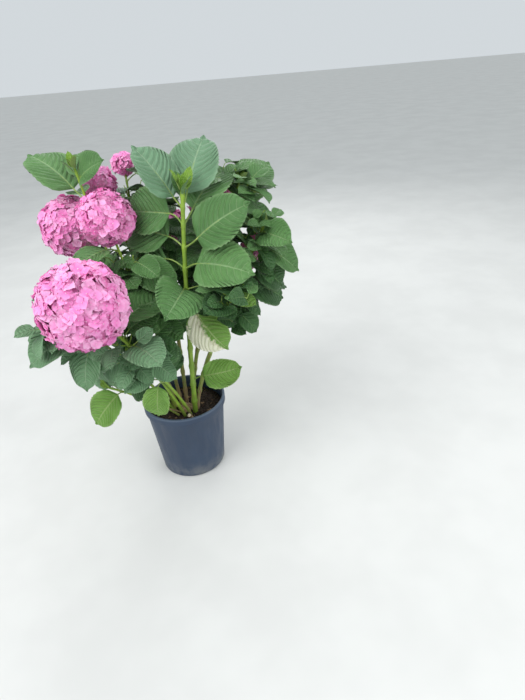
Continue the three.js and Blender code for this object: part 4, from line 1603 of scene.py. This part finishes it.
def finish_leaf(tree, shader, masks):
    """The relief of pillows, veins and the fine net between them, and the waxy sheen."""
    inputs = {"Vector": object_point(tree), "Scale": 420.0}
    net = add_node(tree, "ShaderNodeTexVoronoi", inputs, feature="DISTANCE_TO_EDGE").outputs["Distance"]
    cells = multiply(tree, ramp(tree, net, 0.0, 0.22), 0.35)
    height = maths(tree, "SUBTRACT", add(tree, masks["Pillow"], cells), masks["Vein"])
    add_bump(tree, shader, height, 0.0026, 0.85)
    tree.links.new(ramp(tree, mottle(tree, 55), 0, 1, *LEAF_GLOSS), shader.inputs["Roughness"])


def leaf_material(tint, pairs=VEIN_PAIRS):
    material, tree, shader = new_material(f"leaf_{tint}_{pairs}", 0.45, Specular_IOR_Level=0.5)
    masks = vein_masks(tree, pairs)
    tree.links.new(leaf_colour(tree, masks, *LEAF_TINTS[tint]), shader.inputs["Base Color"])
    finish_leaf(tree, shader, masks)
    return material


print("tints:", *LEAF_TINTS)

# %% [markdown]
# One leaf low at the front has been scorched: the sun has bleached a part of it to cream, with a
# thin dead rim. A ragged line that runs along the blade parts the cream from the green. It comes
# from the blade's own map with a mottle added, so no picture is needed to paint it.

# %% Make the scorched leaf
SCORCH_FROM = -0.5
SCORCH_TO_TIP = -0.2
SCORCH_RAGGED = 0.16
SCORCH_RIM = 0.07
SCORCH_RIM_STRENGTH = 0.4
SCORCH_OFF_BASE = (0.08, 0.15)


def scorched_material():
    """A light leaf that the sun has bleached on one half, away from its base."""
    material, tree, shader = new_material("leaf_scorched", 0.5)
    masks = vein_masks(tree, VEIN_PAIRS)
    green = leaf_colour(tree, masks, *LEAF_TINTS["lime"])
    place = split(tree, map_point(tree))
    ragged = multiply(tree, mottle(tree, 60, 5), SCORCH_RAGGED)
    to_tip = multiply(tree, place["Y"], SCORCH_TO_TIP)
    depth = maths(tree, "SUBTRACT", add(tree, to_tip, ragged), place["X"])
    off_base = ramp(tree, add(tree, place["Y"], ragged), *SCORCH_OFF_BASE)
    inside_rim = SCORCH_FROM + SCORCH_RIM
    patch = multiply(tree, ramp(tree, depth, SCORCH_FROM, inside_rim), off_base)
    rim = ramp(tree, depth, inside_rim, SCORCH_FROM + 2 * SCORCH_RIM, SCORCH_RIM_STRENGTH, 0.0)
    cream = blend_colours(tree, masks["Vein"], 0xFFFFE2, 0xDCE8A8)
    dried = blend_colours(tree, multiply(tree, patch, rim), cream, 0xA9A468)
    tree.links.new(blend_colours(tree, patch, green, dried), shader.inputs["Base Color"])
    finish_leaf(tree, shader, masks)
    return material


print("the base stays green for", SCORCH_OFF_BASE[0], "of the scorched leaf's length")

# %% [markdown]
# ## Putting the leaves on
#
# Every leaf of the growth rule becomes one copy of the blade, bent and folded by the same sums
# that placed it. Its stalk is a tube that leaves the node, bends over and runs on as the midrib
# under the blade, as it does on the plant.
#
# Which tint a leaf gets depends on where it grows. Young tips are yellow-green. Leaves at the
# top and on the lit left are painted paler, as light, low outer ones there get a painted sky
# sheen, and those lower down and on the right are painted darker, as shade.

# %% Lay out the leaves
LARGE_LEAF = 80
LEAF_SEED = 77
STALK_SEED = 78
# Leaves high up and on the left are painted lighter, as light, and low ones on the right darker, as painted
# shade
HIGH_FROM_TO = (420, 880)
OUT_FROM_TO = (60, 280)
LEFT_FROM_TO = (-150, 100)
HIGH_LIGHT = 0.6
LEFT_LIGHT = 0.25
CHANCE_LIGHT = 0.3
SKY_SHEEN_OVER = 0.4
SUNLIT_OVER = 0.88
MID_OVER = 0.38

# Leaves with a tint of their own, by shoot and place on it
PLACED_TINTS = {
    ("leader", 13): "scorched",
    ("leader", 14): "lime",
    ("right_lower", 3): "lime",
    ("left_trailing", 4): "lime",
    ("front_low", 9): "lime",
    # The leader's two top leaves get the tint of painted light
    ("leader", 2): "fresh",
    ("leader", 3): "fresh",
}


def leaf_tint(leaf, draw):
    """A tint by how high, how far out and how far to the left a leaf grows, which paints light, shade or sky
    sheen on it.
    """
    high = smoothstep(leaf.base[2], *HIGH_FROM_TO)
    out = smoothstep(np.hypot(leaf.base[0], leaf.base[1]), *OUT_FROM_TO)
    left = smoothstep(-leaf.base[0], *LEFT_FROM_TO)
    light = HIGH_LIGHT * high + LEFT_LIGHT * left + CHANCE_LIGHT * (draw() - 0.5)
    # Low, outer leaves on the left get a paler, greyer tint that is a painted reflection of the sky
    if out * (1 - high) * left > SKY_SHEEN_OVER:
        return "dusty"
    # Well-lit leaves get painted light, poorly lit ones painted shade
    return "fresh" if light > SUNLIT_OVER else "mid" if light > MID_OVER else "deep"


def deal_leaves():
    """Sorts the leaves into pieces by tint and size."""
    dealt = {}
    draw = seeded(LEAF_SEED)
    for leaf in LEAVES + TWIG_LEAVES + YOUNG_LEAVES:
        leaf.wave = draw()
        tint = "young" if leaf.young else leaf_tint(leaf, draw)
        tint = PLACED_TINTS.get((leaf.shoot, leaf.site), tint)
        large = leaf.length > LARGE_LEAF
        pattern = LARGE_BLADE if large else SMALL_BLADE
        copies = dealt.setdefault((tint, large), [])
        copies.append((pattern, leaf_points(leaf, pattern), draw()))
    return dealt


def make_leaves():
    masses = [f"leaves_{s.name}" for s in SHOOTS]
    for (tint, large), copies in sorted(deal_leaves().items()):
        name = f"leaves_{tint}" + ("" if large else "_small")
        if tint == "scorched":
            material = scorched_material()
        else:
            material = leaf_material(tint, VEIN_PAIRS if large else SMALL_VEIN_PAIRS)
        finish_copies(name, copies, material, masses if name == "leaves_mid" else ())


make_leaves()

# %% [markdown]
# A stalk is about as thick as a drinking straw, pale green, and widest where it clasps the stem.
# One tube of ten rings serves for all: five rings bend over from the node, and five run on under
# the blade. The twigs are tubes too, and share the green rind of the canes.

# %% Lay out the stalks
STALK_SIDES = 6
STALK_RADIUS = 2.5
STALK_TAPER = np.array([1.35, 1.0, 0.88, 0.84, 0.8, 0.66, 0.52, 0.4, 0.27, 0.12])
STALK_RINGS = len(STALK_TAPER)
STALK_ROOT_RINGS = 5
STALK_BEND = 0.4
USUAL_LEAF = 150
STALK_GROWTH = 0.7
RIB_FROM_TO = (0.04, 0.86)
RIB_SINK = -0.5
TWIG_RINGS = 7
STALK_PATTERN = tube_pattern(STALK_SIDES, STALK_RINGS)


def stalk_path(leaf):
    """From the node, over the bend and on under the blade as its midrib."""
    reach = np.linalg.norm(leaf.base - leaf.node)
    bend = leaf.base - leaf.heading * reach * STALK_BEND
    stalk = Limb(leaf.node, bend, leaf.base, 1, 1).at(np.linspace(0, 1, STALK_ROOT_RINGS))
    shares = np.linspace(*RIB_FROM_TO, STALK_RINGS - STALK_ROOT_RINGS)
    rib = blade_points(leaf, shares, np.zeros(len(shares)), np.full(len(shares), RIB_SINK))
    return np.vstack((stalk, rib))


def stalk_copy(leaf, shade):
    radius = STALK_RADIUS * (leaf.length / USUAL_LEAF) ** STALK_GROWTH * STALK_TAPER
    return STALK_PATTERN, lay_tube(STALK_PATTERN, stalk_path(leaf), radius, leaf.across), shade


def stalk_material():
    material, tree, shader = new_material("leaf_stalk", 0.45)
    tone = blend_colours(tree, shade_value(tree), 0x8CAA4E, 0xA9BD6C)
    tree.links.new(blend_colours(tree, mottle(tree, 90), tone, 0x7A9A48), shader.inputs["Base Color"])
    add_bump(tree, shader, mottle(tree, 500), 0.0003, 0.5)
    return material


def make_stalks():
    draw = seeded(STALK_SEED)
    stalks = [stalk_copy(leaf, draw()) for leaf in LEAVES + TWIG_LEAVES]
    finish_copies("leaf_stalks", stalks, stalk_material())
    pattern = tube_pattern(STALK_SIDES, TWIG_RINGS)
    twigs = [limb_copy(pattern, twig, twig.side, 0.0) for twig in TWIGS]
    finish_copies("twigs", twigs, GREEN_RIND)


make_stalks()

# %% [markdown]
# ## Balls of blossom
#
# A mophead is a dome of many branching stalks, and every stalk ends in one floret of four broad
# pink sepals round a tiny pale bud. The sepals overlap like tiles, each a little cupped and
# turned its own way, so the ball has a crisp, crowded surface with deep gaps.
#
# One floret is made first: four small grids, each shaped into a sepal. Copies are then dealt
# over the ball by the golden angle, which spreads any number of points evenly and never lines
# them up. A second, deeper layer inside keeps the ball from looking hollow.

# %% Make a floret
SEPALS = 4
SEPAL_ROWS = 4
SEPAL_COLUMNS = 4
SEPAL_WIDTH = 0.62
SEPAL_CLAW = 0.1
SEPAL_SWELL = 0.78
SEPAL_ROUNDNESS = 0.75
SEPAL_ROUND_END = 0.16
SEPAL_OVERLAP = 0.035
SIZE_JITTER = 0.2
TURN_JITTER = 0.22
CUP = 0.1
CUP_JITTER = 0.3
EDGE_CURL = 0.14
TIP_CURL = 0.1
RUFFLE = 0.08
RUFFLES = 5
RUFFLE_TURN = 3
STEEP = 0.8
STEEP_HINT = np.array([1.0, 0.2, 0])
LEVEL_HINT = np.array([0.3, 0.5, 0.81])


def floret_pattern():
    """Four sepals as flat grids. Each point knows its sepal, its share outwards and its side."""
    bm = bmesh.new()
    sepal = bm.verts.layers.int.new("sepal")
    for k in range(SEPALS):
        made = bmesh.ops.create_grid(bm, x_segments=SEPAL_ROWS, y_segments=SEPAL_COLUMNS, size=1)
        for v in made["verts"]:
            v[sepal] = k
    grid = np.array([v.co for v in bm.verts])
    number = np.array([v[sepal] for v in bm.verts])
    along, side = (grid[:, 0] + 1) / 2, grid[:, 1]
    pattern = Pattern(bm, side / 2 + 0.5, along)
    pattern.sepal, pattern.along, pattern.side = number, along, side
    return pattern


def floret_points(pattern, centre, facing, size, draw):
    """One floret: a claw at the middle, broad round sepals, cupped and turned by its own numbers."""
    east = square_to(LEVEL_HINT if abs(facing[2]) < STEEP else STEEP_HINT, facing)
    north = np.cross(facing, east)
    spin = draw() * math.tau
    jitter = np.array([draw() - 0.5 for _ in range(2 * SEPALS)])
    sepal, along, side = pattern.sepal, pattern.along, pattern.side
    length = size / 2 * (1 + SIZE_JITTER * jitter[sepal])
    out = along * (1 - SEPAL_ROUND_END * side ** 2 * along)
    swell = np.sin(math.pi * np.clip(SEPAL_CLAW + along * SEPAL_SWELL, 0, 1)) ** SEPAL_ROUNDNESS
    width = SEPAL_WIDTH * length * swell * side
    angle = spin + sepal * math.tau / SEPALS + TURN_JITTER * jitter[sepal + SEPALS]
    cup = CUP + CUP_JITTER * jitter[(sepal + 2) % (2 * SEPALS)]
    layer = np.where(sepal % 2 == 0, SEPAL_OVERLAP, 0.0) * size
    curl = cup * along ** 2 + EDGE_CURL * side ** 2 * along - TIP_CURL * along ** 3
    ruffle = length * RUFFLE * np.sin(side * RUFFLES + spin * RUFFLE_TURN + sepal) * along
    height = layer + length * curl + ruffle
    x = length * out * np.cos(angle) - width * np.sin(angle)
    y = length * out * np.sin(angle) + width * np.cos(angle)
    return centre + x[:, None] * east + y[:, None] * north + height[:, None] * facing


FLORET = floret_pattern()
print("floret", len(FLORET.faces), "faces")

# %% [markdown]
# The colour of a sepal runs from a deeper pink at its claw to a pale rim, with faint veins
# fanning out. The same group of nodes makes every tint of blossom, so the fans match. Florets
# that get less light, under the ball and in its inner layer, are painted a deeper pink as
# shade.

# %% Make the blossom finishes
# The last two tints are painted shade, for florets under the ball and inside it; the first two are dealt at
# random
BLOSSOM_TINTS = {
    "pale": (0xF892CE, 0xFFC0E8),
    "pink": (0xF682C8, 0xFFACE2),
    "deep": (0xE674C0, 0xFAA0DA),
    "inner": (0xEE7EC6, 0xFDA8DE),
}
SEPAL_VEINS = 7.0


def make_sepal_group():
    """From a sepal's own map: how near the rim a place is, and the fan of fine veins."""
    tree, given, out = new_group("sepal_fan", [("UV", "NodeSocketVector", None)], ["Rim", "Fan"])
    place = split(tree, given["UV"])
    tree.links.new(ramp(tree, place["Y"], 0.15, 1.0), out["Rim"])
    lines = maths(tree, "PINGPONG", multiply(tree, place["X"], SEPAL_VEINS), 0.5)
    tree.links.new(multiply(tree, ramp(tree, lines, 0.0, 0.2, 1.0, 0.0), place["Y"]), out["Fan"])
    return tree


SEPAL_GROUP = make_sepal_group()


def blossom_material(tint):
    material, tree, shader = new_material(f"blossom_{tint}", 0.55, Sheen_Weight=0.15)
    fan = add_node(tree, "ShaderNodeGroup", {"UV": map_point(tree)}, node_tree=SEPAL_GROUP).outputs
    low, high = BLOSSOM_TINTS[tint]
    tone = add(tree, multiply(tree, fan["Rim"], 0.6), multiply(tree, shade_value(tree), 0.4))
    body = blend_colours(tree, tone, low, high)
    lined = blend_colours(tree, multiply(tree, fan["Fan"], 0.3), body, low)
    tree.links.new(lined, shader.inputs["Base Color"])
    add_bump(tree, shader, maths(tree, "SUBTRACT", mottle(tree, 240), fan["Fan"]), 0.0005, 0.5)
    return material


def eye_material():
    material, tree, shader = new_material("blossom_eye", 0.5)
    colour = blend_colours(tree, mottle(tree, 300), 0xF6DDEA, 0xE79AC4)
    tree.links.new(colour, shader.inputs["Base Color"])
    return material


print("blossom tints:", *BLOSSOM_TINTS)

# %% [markdown]
# A ball isn't smooth: its florets stand in clusters, with valleys between. So a few directions
# are spread over it first, one for each cluster. A floret near one stands high and faces out,
# and one between two of them sinks and leans away.

# %% Cover the balls
GOLDEN_ANGLE = math.pi * (3 - math.sqrt(5))
FLORET_SMALL, FLORET_LARGE = 25, 33
BALL_FROM_TO = (38, 120)
FLORET_OVERLAP = 1.55
FLORET_AREA = 0.62
FLORET_TILT = 0.8
FLORET_SINK = (3, 11)
FLORET_SIZES = (0.84, 1.14)
LAYERS = (("outer", 1.0, 1.0), ("inner", 0.87, 0.85))
CLUSTER_AREA = 3400
CLUSTER_EDGES = (2.8, 0.5)
CLUSTER_RELIEF = 0.08
CLUSTER_LEAN = 1.7
UNDERSIDE = -0.72
PALE_SHARE = 0.45


def ball_directions(axis, count):
    """Evenly spread directions, from the top of the ball down."""
    east = square_to(np.array([1.0, 0.3, 0]), axis)
    north = np.cross(axis, east)
    for k in range(count):
        down = 1 - 2 * (k + 0.5) / count
        ring = math.sqrt(1 - down * down)
        turn = k * GOLDEN_ANGLE
        yield axis * down + (east * math.cos(turn) + north * math.sin(turn)) * ring


def floret_size(bloom):
    return lerp(FLORET_SMALL, FLORET_LARGE, smoothstep(bloom.radius, *BALL_FROM_TO))


def cluster_lift(clusters, direction):
    """How high a place stands on its cluster, from 0 in a valley to 1, and which way it leans."""
    nearness = clusters @ direction
    near = clusters[nearness.argmax()]
    valley, top = (1 - part / len(clusters) for part in CLUSTER_EDGES)
    return smoothstep(nearness.max(), valley, top), direction - near


def floret_tint(layer, under, draw):
    """Florets inside the ball and under it get less light, so their tints are painted shade."""
    if layer == "inner":
        return "inner"
    if under:
        return "deep"
    return "pale" if draw() < PALE_SHARE else "pink"


def place_florets(bloom, number):
    """Every floret of a ball. Its chance shades its eye or, in the inner layer, gives it a ray."""
    draw = seeded(BALL_SEED + number)
    size = floret_size(bloom)
    area = 4 * math.pi * bloom.radius ** 2
    count = int(area / (size * size * FLORET_AREA) * FLORET_OVERLAP)
    clusters = np.array(list(ball_directions(bloom.axis, int(area / CLUSTER_AREA))))
    for layer, share, amount in LAYERS:
        for direction in ball_directions(bloom.axis, int(count * amount)):
            lift, lean = cluster_lift(clusters, direction)
            tilt = np.array([draw() - 0.5, draw() - 0.5, draw() - 0.5])
            facing = unit(direction + lean * CLUSTER_LEAN + tilt * FLORET_TILT)
            surface = bloom_surface(bloom, direction) * share * (1 - CLUSTER_RELIEF * (1 - lift))
            centre = bloom.centre + direction * (surface - lerp(*FLORET_SINK, draw() ** 2))
            points = floret_points(FLORET, centre, facing, size * lerp(*FLORET_SIZES, draw()), draw)
            tint = floret_tint(layer, direction @ bloom.axis < UNDERSIDE, draw)
            yield SimpleNamespace(
                bloom=bloom, layer=layer, tint=tint, centre=centre, facing=facing, points=points,
                shade=draw(), chance=draw(),
            )


FLORETS = [floret for number, bloom in enumerate(BLOOMS) for floret in place_florets(bloom, number)]
print(len(FLORETS), "florets on", len(BLOOMS), "balls")

# %% [markdown]
# Every floret in sight has a pale eye, the flower proper, and inside the ball thin green rays
# carry the florets from the stalk's end. The sepals are joined into one piece for each tint.

# %% Make the blossom
EYE_HEIGHT = 1.8
EYE_RADIUS = 1.9
RAY_SHARE = 0.5
RAY_SIDES, RAY_RINGS = 5, 5
RAY_START = 0.45
RAY_BEND = 0.12
RAY_RADII = (1.7, 0.8)
RAY_SHADE = 0.3


def eye_copies():
    pattern, shape = crumb_pattern()
    return [
        (pattern, shape * EYE_RADIUS + (floret.centre + floret.facing * EYE_HEIGHT), floret.chance)
        for floret in FLORETS if floret.layer == "outer"
    ]


def ray_limb(floret):
    """A thin branch from the stalk's end to a floret, sagging a little."""
    bloom = floret.bloom
    start = bloom.centre - bloom.axis * bloom.radius * RAY_START
    bend = start + (floret.centre - start) * 0.5 - bloom.axis * bloom.radius * RAY_BEND
    return Limb(start, bend, floret.centre, *RAY_RADII)


def ray_copies():
    pattern = tube_pattern(RAY_SIDES, RAY_RINGS)
    return [
        limb_copy(pattern, ray_limb(floret), floret.bloom.axis + 0.01, RAY_SHADE)
        for floret in FLORETS if floret.layer == "inner" and floret.chance < RAY_SHARE
    ]


def make_blossom():
    balls = [f"bloom_{bloom.shoot.name}" for bloom in BLOOMS]
    for tint in BLOSSOM_TINTS:
        copies = [(FLORET, floret.points, floret.shade) for floret in FLORETS if floret.tint == tint]
        finish_copies(
            f"blossom_{tint}", copies, blossom_material(tint), balls if tint == "pink" else (),
        )
    finish_copies("blossom_eyes", eye_copies(), eye_material())
    finish_copies("blossom_rays", ray_copies(), stalk_material())


make_blossom()

# %% [markdown]
# ## Floor and light
#
# The plant stands on a plain pale floor in the soft light of an open shed. A wide lamp high on
# the left gives shape, a weaker one on the right lifts the shade, and the sky does the rest.

# %% Light the plant
FLOOR_SIZE = 60
LAMP_AIM = Vector((0, 0, 0.55))
LAMPS = {
    "key": ((-1.7, -1.6, 3.0), 2.4, 78),
    "fill": ((2.2, -1.2, 1.9), 2.4, 26),
    "back": ((0.4, 2.4, 2.6), 2.2, 34),
}
SKY_COLOUR = (0.9, 0.96, 1.0, 1.0)
SKY_STRENGTH = 0.72


def make_floor():
    bm = bmesh.new()
    bmesh.ops.create_grid(bm, x_segments=4, y_segments=4, size=FLOOR_SIZE / 2)
    floor = bpy.data.objects.new("floor", mesh_of("floor", bm))
    material, tree, shader = new_material("pale_floor", 0.85)
    tree.links.new(blend_colours(tree, mottle(tree, 3), 0xD6D6D3, 0xDCDCD9), shader.inputs["Base Color"])
    floor.data.materials.append(material)
    bpy.context.collection.objects.link(floor)


def add_lamp(name, place, size, power):
    data = bpy.data.lights.new(name, "AREA")
    data.size, data.energy = size, power
    lamp = bpy.data.objects.new(name, data)
    bpy.context.collection.objects.link(lamp)
    aim = LAMP_AIM - Vector(place)
    lamp.matrix_world = Matrix.Translation(place) @ aim.to_track_quat("-Z", "Y").to_matrix().to_4x4()


def light_sky():
    world = bpy.data.worlds.new("sky")
    world.use_nodes = True
    background = world.node_tree.nodes["Background"]
    background.inputs["Color"].default_value = SKY_COLOUR
    background.inputs["Strength"].default_value = SKY_STRENGTH
    bpy.context.scene.world = world


make_floor()
for lamp_name, lamp_values in LAMPS.items():
    add_lamp(lamp_name, *lamp_values)
light_sky()
bpy.context.scene.view_settings.view_transform = "Standard"
print("lit by", *LAMPS, "and the sky")

# %% [markdown]
# ## The finished plant
#
# The finished plant keeps to the plain model's box, apart from a little that soft leaves may
# stand proud.
